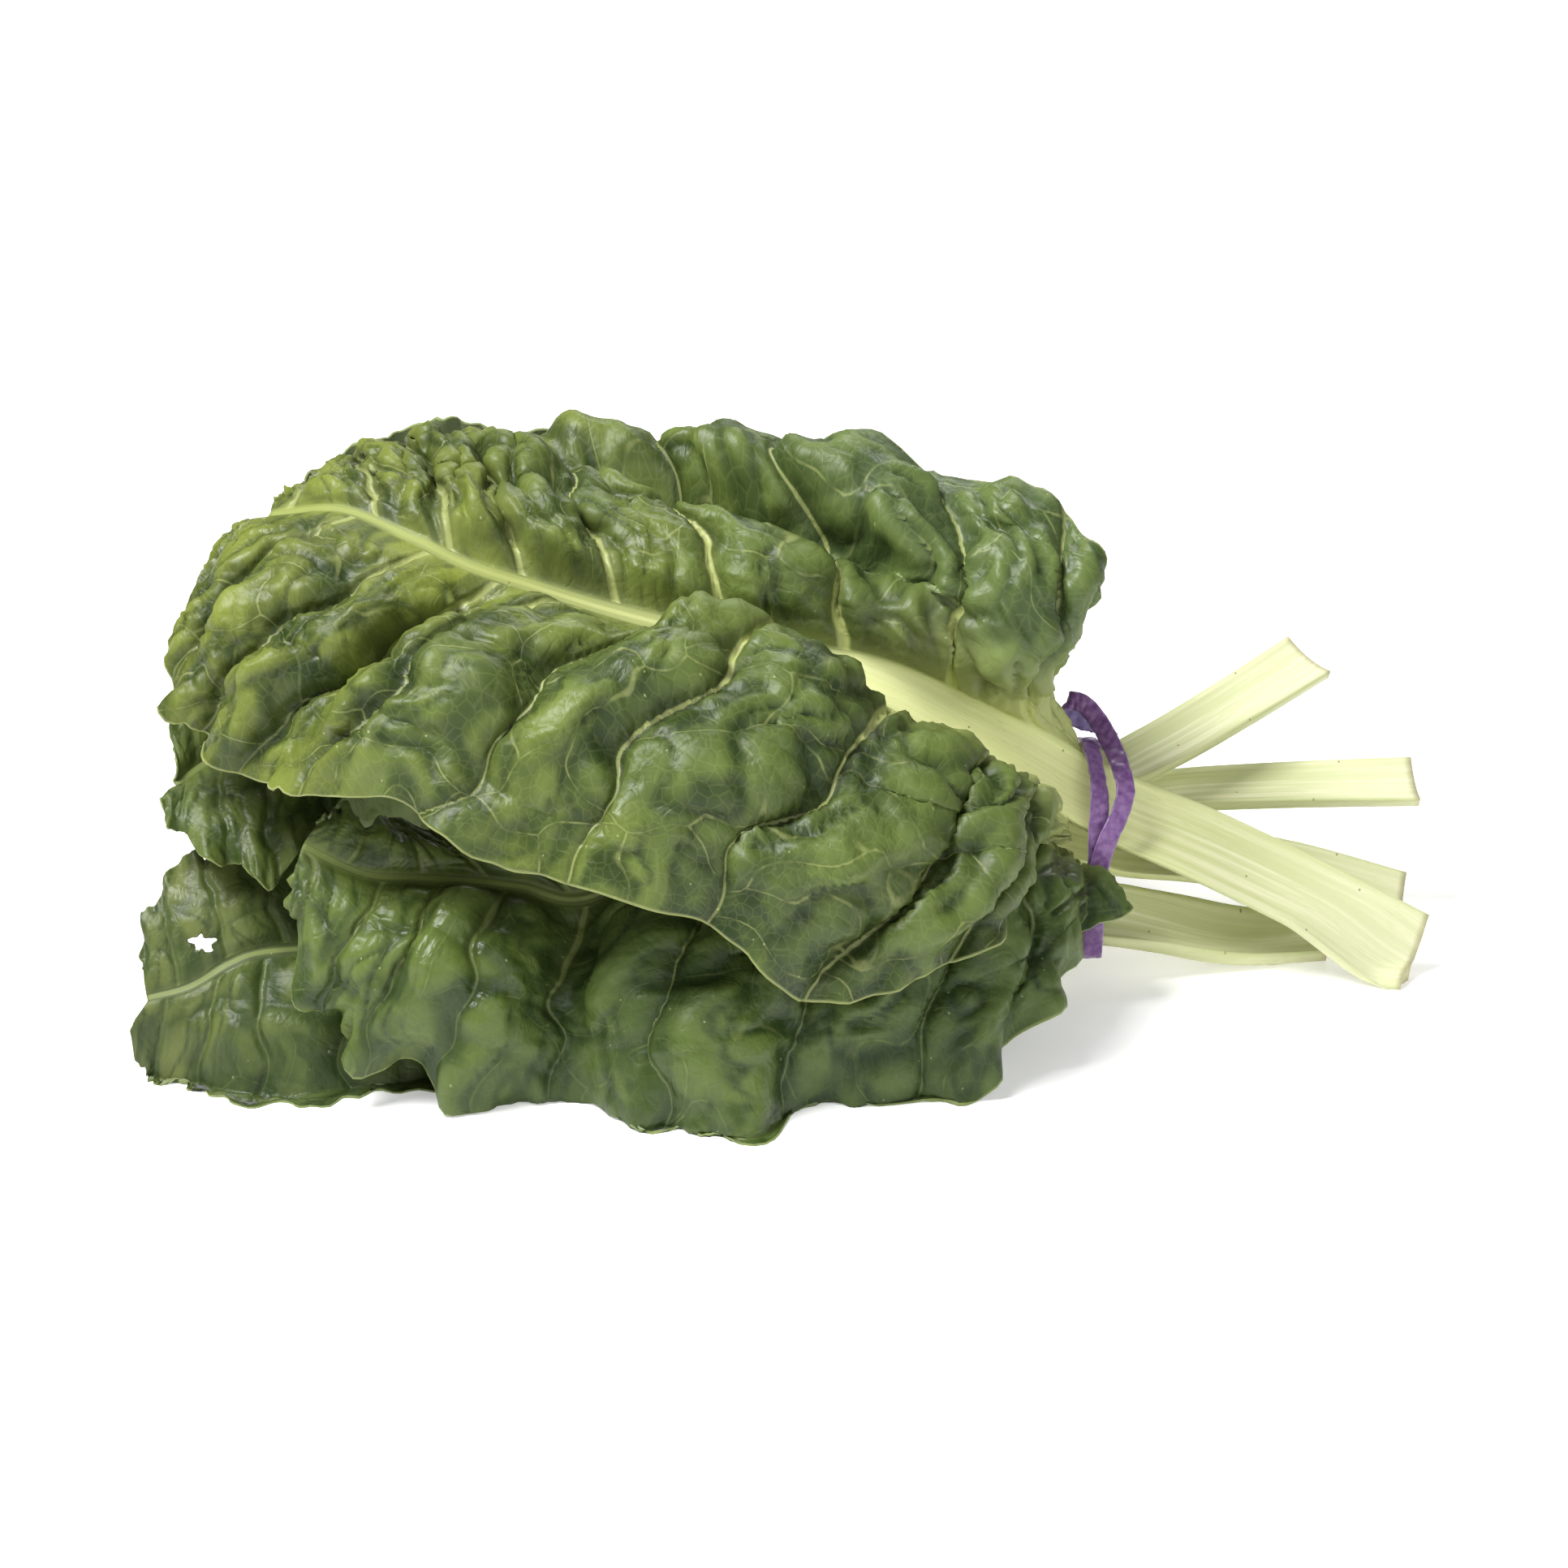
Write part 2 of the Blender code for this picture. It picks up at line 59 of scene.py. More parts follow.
# A stalk point is (x, y, z, turn, width): turn is how far its channel faces the front, in
# degrees. A blade station is a rib point like that, then the point of the front margin and
# the point of the back margin, each (x, y, z, arch, bow) with the height of the arch of the
# blade between rib and margin and how far its middle bows toward the tip. grid: rows of
# stalk, rows and columns of blade, half the columns of the rib. frill: height and count of
# the fine waves of the margin, and base_frill: how much higher they are near the stalk.
# clear: width of a smooth strip beside the rib, at the front. tight: height of the small
# pleats toward the tip. even: how far the pleats flatten toward the margin. With s as the
# share of the way to the tip and b as the share of the way to the margin, a fold is (side,
# its line of (s, b), height, width toward the rib, width toward the margin), and a swell is
# (side, s, b, length, width, height).
TOP_LEAF = dict(
    name="top_leaf", seed=11, grid=(70, 212, 92, 9), veins=((9.5, -0.42), (9.0, 0.2)),
    pleat=10.0, ruffles=11, ruffle=2.6, scallops=9.5, scallop=2.0, frill=(1.6, 26), clear=0.3,
    tight=6.0,
    stalk=((198, 14, 10, 50, 24), (161, 17, 29, 47, 24), (130, 19, 44, 45, 24),
           (107, 20, 54, 45, 23)),
    blade=(
        ((90, 17, 64, 45, 22), (88, 4, 51, 0, 0), (89, 30, 78, 0, 0)),
        ((75, 10, 76, 42, 20), (68, -30, 62, 6, 0), (74, 24, 102, 4, 0)),
        ((53, 3, 91, 40, 19), (53, -72, 47, 18, 2), (96, 14, 144, 14, 4)),
        ((29, -4, 107, 38, 14), (10, -88, 39, 22, 4), (65, 40, 154, 14, 4)),
        ((1, -9, 118, 36, 8), (-31, -96, 70, 18, 6), (14, 58, 163, 11, 4)),
        ((-28, -13, 127, 35, 5.5), (-77, -93, 81, 14, 6), (-29, 60, 157, 9, 3)),
        ((-54, -15, 135, 35, 4.2), (-115, -80, 98, 13, 6), (-67, 58, 160, 8, 3)),
        ((-77, -16, 143, 35, 3.6), (-149, -62, 94, 12, 5), (-99, 54, 161, 7, 2)),
        ((-95, -15, 149, 35, 3), (-171, -46, 102, 12, 4), (-117, 50, 163, 7, 2)),
        ((-113, -9, 156, 33, 2.6), (-183, -32, 113, 10, 3), (-133, 45, 163, 6, 1)),
        ((-134, 4, 160, 30, 2.3), (-182, -14, 128, 8, 2), (-146, 38, 157, 4, 0)),
        ((-157, 17, 154, 28, 2), (-172, 6, 144, 3, 0), (-155, 29, 155, 1, 0))),
    folds=((-1, ((0.3, 0.14), (0.37, 0.1), (0.45, 0.14)), 11, 0.1, 0.3),
           (1, ((0.32, 0.6), (0.38, 0.72), (0.45, 0.84), (0.56, 0.98)), 8, 0.1, 0.2),
           (1, ((0.3, 0.36), (0.36, 0.48), (0.43, 0.6), (0.52, 0.74)), -16, 0.1, 0.13)),
    swells=((-1, 0.59, 0.5, 0.04, 0.5, 10), (-1, 0.66, 0.4, 0.03, 0.4, -8),
            (-1, 0.42, 0.45, 0.12, 0.3, 8)))


def smooth(low, high, x):
    f = np.clip((x - low) / (high - low), 0, 1)
    return f * f * (3 - 2 * f)


def unit(v):
    return v / np.maximum(np.linalg.norm(v, axis=-1, keepdims=True), 1e-9)


def through(points, at):
    """The smooth curve through evenly numbered points, read at values from 0 to 1."""
    points = np.asarray(points, float)
    slopes = np.gradient(points, axis=0)
    x = np.clip(at, 0, 1) * (len(points) - 1)
    i = np.minimum(x.astype(int), len(points) - 2)
    f = (x - i)[:, None]
    return ((1 + 2 * f) * (1 - f) ** 2 * points[i] + f * (1 - f) ** 2 * slopes[i]
            + f * f * (3 - 2 * f) * points[i + 1] + f * f * (f - 1) * slopes[i + 1])


def relief(leaf, s, b, side, span):
    """Height of pleats, folds and ruffles above the smooth blade, and the count of veins."""
    rng = np.random.default_rng(leaf["seed"] + side)
    count, offset = leaf["veins"][(side + 1) // 2]
    phase = count * (s - (SWEEP - SWEEP_FALL * s) * b) + offset + 3.0
    wander = np.sin(9 * b + 17 * s + leaf["seed"]) + 0.6 * np.sin(21 * b - 31 * s + side)
    phase = phase + WANDER * wander * smooth(0.05, 0.4, b) * smooth(15, 60, span)
    band = np.clip(np.floor(phase).astype(int), 0, BANDS - 1)
    gain = rng.uniform(0.65, 1.2, BANDS)[band]
    turn = rng.uniform(0, 1, BANDS)[band]
    bumps = rng.uniform(1.6, 3.2, BANDS)[band]
    size = smooth(0, 80, span) * smooth(-0.02, 0.12, s) * (1 - 0.5 * smooth(0.65, 1, s))
    hill = np.abs(np.sin(np.pi * phase)) ** 0.7
    bent = 0.14 * np.sin(19 * s + 5 * b + leaf["seed"])
    puff = np.abs(np.sin(np.pi * (bumps * b + turn + bent))) ** 0.7
    d = leaf["pleat"] * gain * hill * (0.5 + 0.5 * puff)
    tight = leaf.get("tight", 0) * smooth(0.36, 0.5, s) * (0.15 + 0.85 * (side > 0))
    split = np.abs(np.sin(2 * np.pi * phase + 1.2 * np.sin(7 * b + 13 * s))) ** 0.6
    d = d + tight * split * (1 - 0.4 * hill)
    strip = 1 - 0.8 * smooth(0.28, 0.36, s) + 0.8 * smooth(0.42, 0.5, s)
    clear = leaf.get("clear", 0) * strip * (side < 0)
    d = d * size * smooth(0, 0.12 + clear, b) * (1 - 0.55 * smooth(0.65, 1, b))
    d = d * (1 - leaf.get("even", 0) * smooth(0.2, 0.7, b))
    start = rng.uniform(0, 6.28)
    wave = np.sin(2 * np.pi * leaf["ruffles"] * s + start + 0.9 * np.sin(11 * s + start))
    d = d + leaf["ruffle"] * wave * smooth(0.68, 1, b) * smooth(0, 0.06, s) * size
    high, waves = leaf["frill"]
    turns = 2 * np.pi * waves * s + 1.9 * np.sin(37 * s + start) + 2.5 * b
    calm = 0.55 + 0.45 * np.sin(23 * s + 2 * start)
    calm = calm * (1 + leaf.get("base_frill", 0) * (1 - smooth(0.12, 0.32, s)))
    d = d + high * calm * np.sin(turns) * smooth(0.8, 1, b) * smooth(0, 0.05, s)
    for where, line, high, inner, outer in leaf["folds"]:
        if where == side:
            ls, lb = np.array(line).T
            u = b - np.interp(s, ls, lb)
            ends = smooth(ls[0] - 0.06, ls[0] + 0.03, s)
            ends = ends * (1 - smooth(ls[-1] - 0.03, ls[-1] + 0.06, s))
            shape = ends * np.exp(-(u / np.where(u < 0, inner, outer)) ** 2) * smooth(0, 0.06, b)
            d = d * (1 - 0.85 * shape * (high < 0)) + high * shape
    for where, s0, b0, along, across, high in leaf["swells"]:
        if where == side:
            swell = np.exp(-((s - s0) / along) ** 2 - ((b - b0) / across) ** 2)
            d = d + high * swell * smooth(0, 0.08, b)
    return d, phase, hill * (0.4 + 0.6 * puff)


def vein_gap(sheet, phase):
    """Distance square across from one side vein to the next, at each point of a sheet."""
    down, over = np.gradient(sheet, axis=(0, 1))
    phase_down, phase_over = np.gradient(phase, axis=(0, 1))
    dd, oo, do = (down * down).sum(2), (over * over).sum(2), (down * over).sum(2)
    steep = (phase_down ** 2 * oo - 2 * phase_down * phase_over * do + phase_over ** 2 * dd)
    return np.sqrt(np.maximum(dd * oo - do ** 2, 1e-9) / np.maximum(steep, 1e-9))


def leaf_sheet(leaf):
    """Upper surface of a leaf as rows of points, with its thickness and its maps:
    spread (place on the unwrinkled leaf in mm), ribbing (vein count, mm between veins, mm
    from the rib), zone (share of the way to the margin, share of the way to the tip, pleat)
    and lane (mm from the cut, mm from the middle of the rib)."""
    stalk_rows, blade_rows, blade_cols, rib_cols = leaf["grid"]
    blade = leaf["blade"]
    ribs = np.array(list(leaf["stalk"]) + [station[0] for station in blade], float)
    base = len(leaf["stalk"]) / (len(ribs) - 1)
    at = np.concatenate([np.linspace(0, base, stalk_rows, endpoint=False),
                         np.linspace(base, 1, blade_rows + 1)])
    s = np.clip((at - base) / (1 - base), 0, 1)
    rib = through(ribs, at)
    width = rib[:, 4]
    steps = np.linalg.norm(np.diff(rib[:, :3], axis=0), axis=1)
    travelled = np.concatenate([[0], np.cumsum(steps)])
    along = unit(np.gradient(rib[:, :3], axis=0))
    turn = np.radians(rib[:, 3])
    up = np.stack([0 * turn, -np.sin(turn), np.cos(turn)], 1)
    up = unit(up - (up * along).sum(1, keepdims=True) * along)
    across = np.cross(along, up)
    half = np.linspace(-1, 1, 2 * rib_cols + 1)
    lip = CHANNEL * width * (1 - smooth(0, 0.75, s))
    middle = (rib[:, None, :3] + across[:, None] * (half[None] * width[:, None] / 2)[..., None]
              + up[:, None] * (np.abs(half)[None] ** 2.2 * lip[:, None])[..., None])
    b = np.linspace(0, 1, blade_cols + 1)
    sides = []
    for side in (-1, 1):
        margin = through([station[(side + 3) // 2] for station in blade], s)
        root = middle[:, (side + 1) * rib_cols]
        chord = margin[:, :3] - root
        span = np.linalg.norm(chord, axis=1, keepdims=True)
        lift = unit(np.cross(chord * side, along))
        arch = (4 * b * (1 - b))[None]
        swing = leaf["scallop"] * np.sin(2 * np.pi * leaf["scallops"] * s + leaf["seed"] + side)
        swing = swing + 0.5 * np.sin(170 * s + 2 * np.sin(40 * s))
        swing = swing * smooth(0, 0.08, s) * (1 - smooth(0.92, 1, s)) / np.maximum(span[:, 0], 20)
        reach = b[None] + swing[:, None] * b[None] ** 4
        p = (root[:, None] + chord[:, None] * reach[..., None]
             + lift[:, None] * (margin[:, 3:4] * arch)[..., None]
             + along[:, None] * (margin[:, 4:5] * arch)[..., None])
        spread = p + APART * leaf["seed"]
        rows = unit(np.gradient(p[s > 0], axis=0))
        rows = np.concatenate([np.repeat(rows[:1], (s <= 0).sum(), 0), rows])
        normal = unit(np.cross(np.gradient(p, axis=1) * side, rows))
        full_s = s[:, None] + 0 * b[None]
        full_b = b[None] + 0 * s[:, None]
        d, phase, pleat = relief(leaf, full_s, full_b, side, span)
        per_vein = vein_gap(p, phase)
        lean = LEAN * np.clip(d, 0, None)
        p = p + normal * d[..., None] + rows * lean[..., None]
        out = span * b[None]
        ribbing = np.stack([phase, per_vein, out], 2)
        zone = np.stack([full_b, full_s, pleat], 2)
        lane = np.stack([travelled[:, None] + 0 * full_b,
                         side * (out + width[:, None] / 2), 0 * out], 2)
        sides.append([grid[:, 1:] for grid in (p, spread, ribbing, zone, lane)])
    flat_half = half[None] * width[:, None] / 2
    inside = -(1 - np.abs(half))[None] * width[:, None] / 2
    none = 0 * flat_half
    own = [middle, middle + APART * leaf["seed"],
           np.stack([0.5 + none, 99 + none, inside], 2),
           np.stack([none, s[:, None] + none, none], 2),
           np.stack([travelled[:, None] + none, flat_half, none], 2)]
    points, spread, ribbing, zone, lane = [
        np.concatenate([front[:, ::-1], mid, back], 1)
        for front, mid, back in zip(sides[0], own, sides[1])]
    fade = (width / width.max())[:, None]
    deep = RIB_DEEP * fade * np.sqrt(np.clip(1 - half ** 2, 0, 1))[None]
    thick = np.full(points.shape[:2], BLADE_THICK)
    thick[:, blade_cols:blade_cols + len(half)] += deep
    floor = 0 if leaf.get("on_edge") else thick
    z = points[..., 2] - floor
    points[..., 2] = floor + np.maximum(z - SETTLE * (1 - smooth(SETTLE, 4 * SETTLE, z)), 0)
    cells = np.ones((points.shape[0] - 1, points.shape[1] - 1), bool)
    cells[:stalk_rows, :blade_cols] = False
    cells[:stalk_rows, -blade_cols:] = False
    return points, thick, cells, dict(spread=spread, ribbing=ribbing, zone=zone, lane=lane)


def new_group(name, kind, inputs, outputs):
    """An empty node group with its sockets made; returns it with its two end nodes."""
    tree = bpy.data.node_groups.new(name, kind)
    for socket, form, value in inputs:
        made = tree.interface.new_socket(socket, in_out="INPUT", socket_type=form)
        if value is not None:
            made.default_value = value
    for socket, form in outputs:
        tree.interface.new_socket(socket, in_out="OUTPUT", socket_type=form)
    return tree, tree.nodes.new("NodeGroupInput"), tree.nodes.new("NodeGroupOutput")


def put(tree, kind, sockets=None, **settings):
    """Adds a node, with its settings, and fills its sockets with values or with links."""
    made = tree.nodes.new(kind)
    for key, value in settings.items():
        setattr(made, key, value)
    for key, value in (sockets or {}).items():
        if isinstance(value, bpy.types.NodeSocket):
            tree.links.new(value, made.inputs[key])
        else:
            made.inputs[key].default_value = value
    return made


def maths(tree, operation, *values):
    return put(tree, "ShaderNodeMath", dict(enumerate(values)), operation=operation).outputs[0]


def ease(tree, value, low, high, at_low=0.0, at_high=1.0):
    """A value eased from one level to another between two limits."""
    sockets = {"Value": value, "From Min": low, "From Max": high, "To Min": at_low, "To Max": at_high}
    made = put(tree, "ShaderNodeMapRange", sockets, interpolation_type="SMOOTHSTEP")
    return made.outputs["Result"]


def blend(tree, share, first, second):
    """One colour laid over another by a share."""
    made = put(tree, "ShaderNodeMix", data_type="RGBA")
    for socket, value in ((0, share), (6, first), (7, second)):
        if isinstance(value, bpy.types.NodeSocket):
            tree.links.new(value, made.inputs[socket])
        else:
            made.inputs[socket].default_value = value
    return made.outputs[2]


PUFF_LONG = 21.0           # mm along a side vein from puff to puff
PUFFS_A_VEIN = 1.25        # puffs between two side veins
GRAIN_SCALE = 2.3          # small facets across a puff
WRINKLE_LONG = 42.0        # mm along a side vein that a wrinkle keeps its way
WRINKLES_A_VEIN = 1.9      # wrinkles between two side veins
RIDGE_SHARE = 0.34         # height of the sharp little ridges, as a share of the crumple
SINK = 0.38                # how far crinkles sink into the blade, as a share of their height
NET_SCALE = 0.3            # cells per mm of the finest net of veins
SIDES_APART = 40.0         # keeps the patterns of the two halves of a blade different


def vectors(tree, operation, first, second):
    """Two vectors added or subtracted, or one scaled by a number."""
    other = "Scale" if operation == "SCALE" else 1
    return put(tree, "ShaderNodeVectorMath", {0: first, other: second},
               operation=operation).outputs[0]


def noise(tree, place, scale, detail, distortion=0.0):
    """Soft noise over a place, as a value and as three values."""
    return put(tree, "ShaderNodeTexNoise", {"Vector": place, "Scale": scale, "Detail": detail,
                                            "Distortion": distortion}).outputs


def from_half(tree, value):
    """How far a value is from a half, which draws lines through soft noise."""
    return maths(tree, "ABSOLUTE", maths(tree, "SUBTRACT", value, 0.5))


def cell_edges(tree, place, scale, dimensions="2D", randomness=0.85):
    """How far a place is from the edge of its cell, in a net of cells."""
    sockets = {"Vector": place, "Scale": scale, "Randomness": randomness}
    return put(tree, "ShaderNodeTexVoronoi", sockets, feature="DISTANCE_TO_EDGE",
               voronoi_dimensions=dimensions).outputs["Distance"]


def crinkle_group():
    """Raises the blade into puffs along its side veins, with broad folds, wrinkles and sharp
    little ridges, about its own level. It leaves maps for the material: puffs (where the net
    of puffs lies), level (puff, fold, calm) and creases (wrinkle, how crumpled)."""
    tree, given, result = new_group("crinkle", "GeometryNodeTree", (
        ("Geometry", "NodeSocketGeometry", None), ("Puff", "NodeSocketFloat", 3.0),
        ("Fold", "NodeSocketFloat", 3.0), ("Crumple", "NodeSocketFloat", 1.5),
        ("Grain", "NodeSocketFloat", 0.7)),
        (("Geometry", "NodeSocketGeometry"),))
    spread, ribbing, zone, lane = [
        put(tree, "GeometryNodeInputNamedAttribute", {"Name": name},
            data_type="FLOAT_VECTOR").outputs[0] for name in ("spread", "ribbing", "zone", "lane")]
    phase, _, out = put(tree, "ShaderNodeSeparateXYZ", {0: ribbing}).outputs
    b, s, pleat = put(tree, "ShaderNodeSeparateXYZ", {0: zone}).outputs
    side = maths(tree, "SIGN", put(tree, "ShaderNodeSeparateXYZ", {0: lane}).outputs[1])
    bend = vectors(tree, "SUBTRACT", noise(tree, spread, 0.04, 1.0)[1], (0.5, 0.5, 0.5))
    bend = vectors(tree, "SCALE", bend, 1.5)
    apart = maths(tree, "MULTIPLY", side, SIDES_APART)
    aligned, puffs = [
        vectors(tree, "ADD", put(tree, "ShaderNodeCombineXYZ", {
            0: maths(tree, "MULTIPLY", phase, a_vein),
            1: maths(tree, "ADD", maths(tree, "DIVIDE", out, long), apart)}).outputs[0], bend)
        for a_vein, long in ((WRINKLES_A_VEIN, WRINKLE_LONG), (PUFFS_A_VEIN, PUFF_LONG))]

    puff = cell_edges(tree, puffs, 1.0)
    puff = maths(tree, "POWER", ease(tree, puff, -0.12, 0.4, -0.12, 1.0), 0.9)
    grain = cell_edges(tree, puffs, GRAIN_SCALE, randomness=1.0)
    grain = ease(tree, grain, -0.1, 0.36, -0.1, 1.0)
    fold = from_half(tree, noise(tree, spread, 0.03, 1.0, 0.4)[0])
    fold = maths(tree, "POWER", ease(tree, fold, 0.0, 0.2), 0.6)
    calm = noise(tree, spread, 0.02, 2.0)[0]
    near_base = ease(tree, s, 0.2, 0.5, 1.3, 0.45)
    uneven = noise(tree, aligned, 1.0, 1.2, 0.5)
    wrinkle = from_half(tree, uneven[0])
    wrinkle = maths(tree, "POWER", ease(tree, wrinkle, 0.0, 0.2), 0.55)
    warped = vectors(tree, "ADD", vectors(tree, "SCALE", uneven[1], 16.0), spread)
    facets = put(tree, "ShaderNodeTexVoronoi", {"Vector": warped, "Scale": 0.075},
                 distance="MANHATTAN").outputs["Distance"]
    ridge = from_half(tree, noise(tree, puffs, 1.7, 2.6, 0.5)[0])
    ridge = maths(tree, "MINIMUM", maths(tree, "DIVIDE", ridge, 0.11), 1.0)
    ridge = maths(tree, "SUBTRACT", 1.0, ridge)

    most_puff, most_fold, most_crumple = [
        given.outputs[name] for name in ("Puff", "Fold", "Crumple")]
    high = maths(tree, "MULTIPLY", puff, maths(
        tree, "MULTIPLY", most_puff, ease(tree, calm, 0.35, 0.62, 1.2, 0.6)))
    grain = maths(tree, "MULTIPLY", grain, ease(tree, calm, 0.35, 0.55, 1.0, 0.1))
    high = maths(tree, "ADD", high, maths(tree, "MULTIPLY", grain, given.outputs["Grain"]))
    high = maths(tree, "ADD", high, maths(tree, "MULTIPLY", fold, most_fold))
    crumple = maths(tree, "MULTIPLY", maths(tree, "SUBTRACT", 1.0, facets), 0.4)
    crumple = maths(tree, "ADD", wrinkle, crumple)
    crumple = maths(tree, "MULTIPLY", crumple, maths(tree, "MULTIPLY", near_base, most_crumple))
    ridge = maths(tree, "MULTIPLY", ridge, maths(tree, "MULTIPLY", most_crumple, RIDGE_SHARE))
    crumple = maths(tree, "ADD", crumple, ridge)
    crumple = maths(tree, "MULTIPLY", crumple, ease(tree, pleat, 0.0, 0.35, 0.1, 1.0))
    high = maths(tree, "ADD", high, crumple)
    mean = maths(tree, "ADD", most_puff, maths(tree, "ADD", most_fold, most_crumple))
    high = maths(tree, "SUBTRACT", high, maths(tree, "MULTIPLY", mean, SINK))
    high = maths(tree, "MULTIPLY", high, ease(tree, out, 0.5, 14.0))
    high = maths(tree, "MULTIPLY", high, ease(tree, b, 0.8, 1.0, 1.0, 0.3))
    normal = put(tree, "GeometryNodeInputNormal").outputs[0]
    shift = vectors(tree, "SCALE", normal, maths(tree, "MULTIPLY", high, MM))
    body = put(tree, "GeometryNodeSetPosition",
               {"Geometry": given.outputs["Geometry"], "Offset": shift}).outputs[0]
    level = put(tree, "ShaderNodeCombineXYZ", {0: puff, 1: fold, 2: calm}).outputs[0]
    creases = put(tree, "ShaderNodeCombineXYZ", {0: wrinkle, 1: near_base}).outputs[0]
    for name, value in (("puffs", puffs), ("level", level), ("creases", creases)):
        body = put(tree, "GeometryNodeStoreNamedAttribute",
                   {"Geometry": body, "Name": name, "Value": value},
                   data_type="FLOAT_VECTOR").outputs[0]
    tree.links.new(body, result.inputs[0])
    return tree


crinkle = crinkle_group()


def apply_all(body):
    bpy.context.view_layer.objects.active = body
    for modifier in list(body.modifiers):
        bpy.ops.object.modifier_apply(modifier=modifier.name)


def leaf_body(leaf, puff, fold, crumple, grain, torn=None):
    """The whole leaf as one closed mesh that carries its maps. The heights of its crinkles
    are in mm, and torn gives the cells that a tear takes out of it."""
    points, thick, cells, maps = leaf_sheet(leaf)
    if torn is not None:
        gone, points = torn(points)
        cells = cells & ~gone
    rows, cols = thick.shape
    mesh = bpy.data.meshes.new(leaf["name"] + "_skin")
    bm = bmesh.new()
    bmesh.ops.create_grid(bm, x_segments=cols - 1, y_segments=rows - 1, size=1)
    weight = bm.verts.layers.deform.verify()
    layers = [bm.verts.layers.float_vector.new(name) for name in maps]
    values = [grid.reshape(-1, 3) for grid in maps.values()]
    deepest = thick.max()
    places = (points.reshape(-1, 3) - MIDDLE) * MM
    depths = thick.reshape(-1) / deepest
    for number, vert in enumerate(bm.verts):
        vert.co = places[number]
        vert[weight][0] = depths[number]
        for layer, value in zip(layers, values):
            vert[layer] = value[number]
    bm.faces.ensure_lookup_table()
    gone = [face for face, kept in zip(bm.faces, cells.reshape(-1)) if not kept]
    bmesh.ops.delete(bm, geom=gone, context="FACES")
    bm.to_mesh(mesh)
    bm.free()
    body = bpy.data.objects.new(leaf["name"] + "_skin", mesh)
    bpy.context.collection.objects.link(body)
    body.vertex_groups.new(name="thickness")
    wrinkles = body.modifiers.new("crinkle", "NODES")
    wrinkles.node_group = crinkle
    for socket, value in (("Puff", puff), ("Fold", fold), ("Crumple", crumple), ("Grain", grain)):
        wrinkles[crinkle.interface.items_tree[socket].identifier] = value
    shell = body.modifiers.new("thickness", "SOLIDIFY")
    shell.thickness = deepest * MM
    shell.offset = -1
    shell.vertex_group = "thickness"
    apply_all(body)
    half = len(body.data.vertices) // 2
    under = body.data.attributes.new("under", "FLOAT", "POINT")
    under.data.foreach_set("value", np.arange(2 * half) >= half)
    for vert in body.data.vertices:
        if vert.co.z < FLAT_BELOW * MM:
            vert.co.z = 0
    body.data.shade_smooth()
    return body


def read_map(tree, name):
    return put(tree, "ShaderNodeSeparateXYZ",
               {0: put(tree, "ShaderNodeAttribute", attribute_name=name).outputs["Vector"]}).outputs


STALK_DEEP = (0.50, 0.54, 0.25, 1)
STALK_LIGHT = (0.70, 0.70, 0.44, 1)
STALK_BY_CUT = (0.72, 0.71, 0.52, 1)
STALK_BY_BLADE = (0.84, 0.87, 0.40, 1)
STRAND = (0.42, 0.50, 0.16, 1)
RIB_EDGE = (0.44, 0.52, 0.16, 1)
BLEMISH = (0.13, 0.09, 0.03, 1)
DRY_CUT = (0.52, 0.46, 0.24, 1)
UNDERSIDE = (0.30, 0.36, 0.17, 1)
LOBE_TINT = (0.13, 0.20, 0.075, 1)
PALE_DOT = (0.36, 0.42, 0.20, 1)


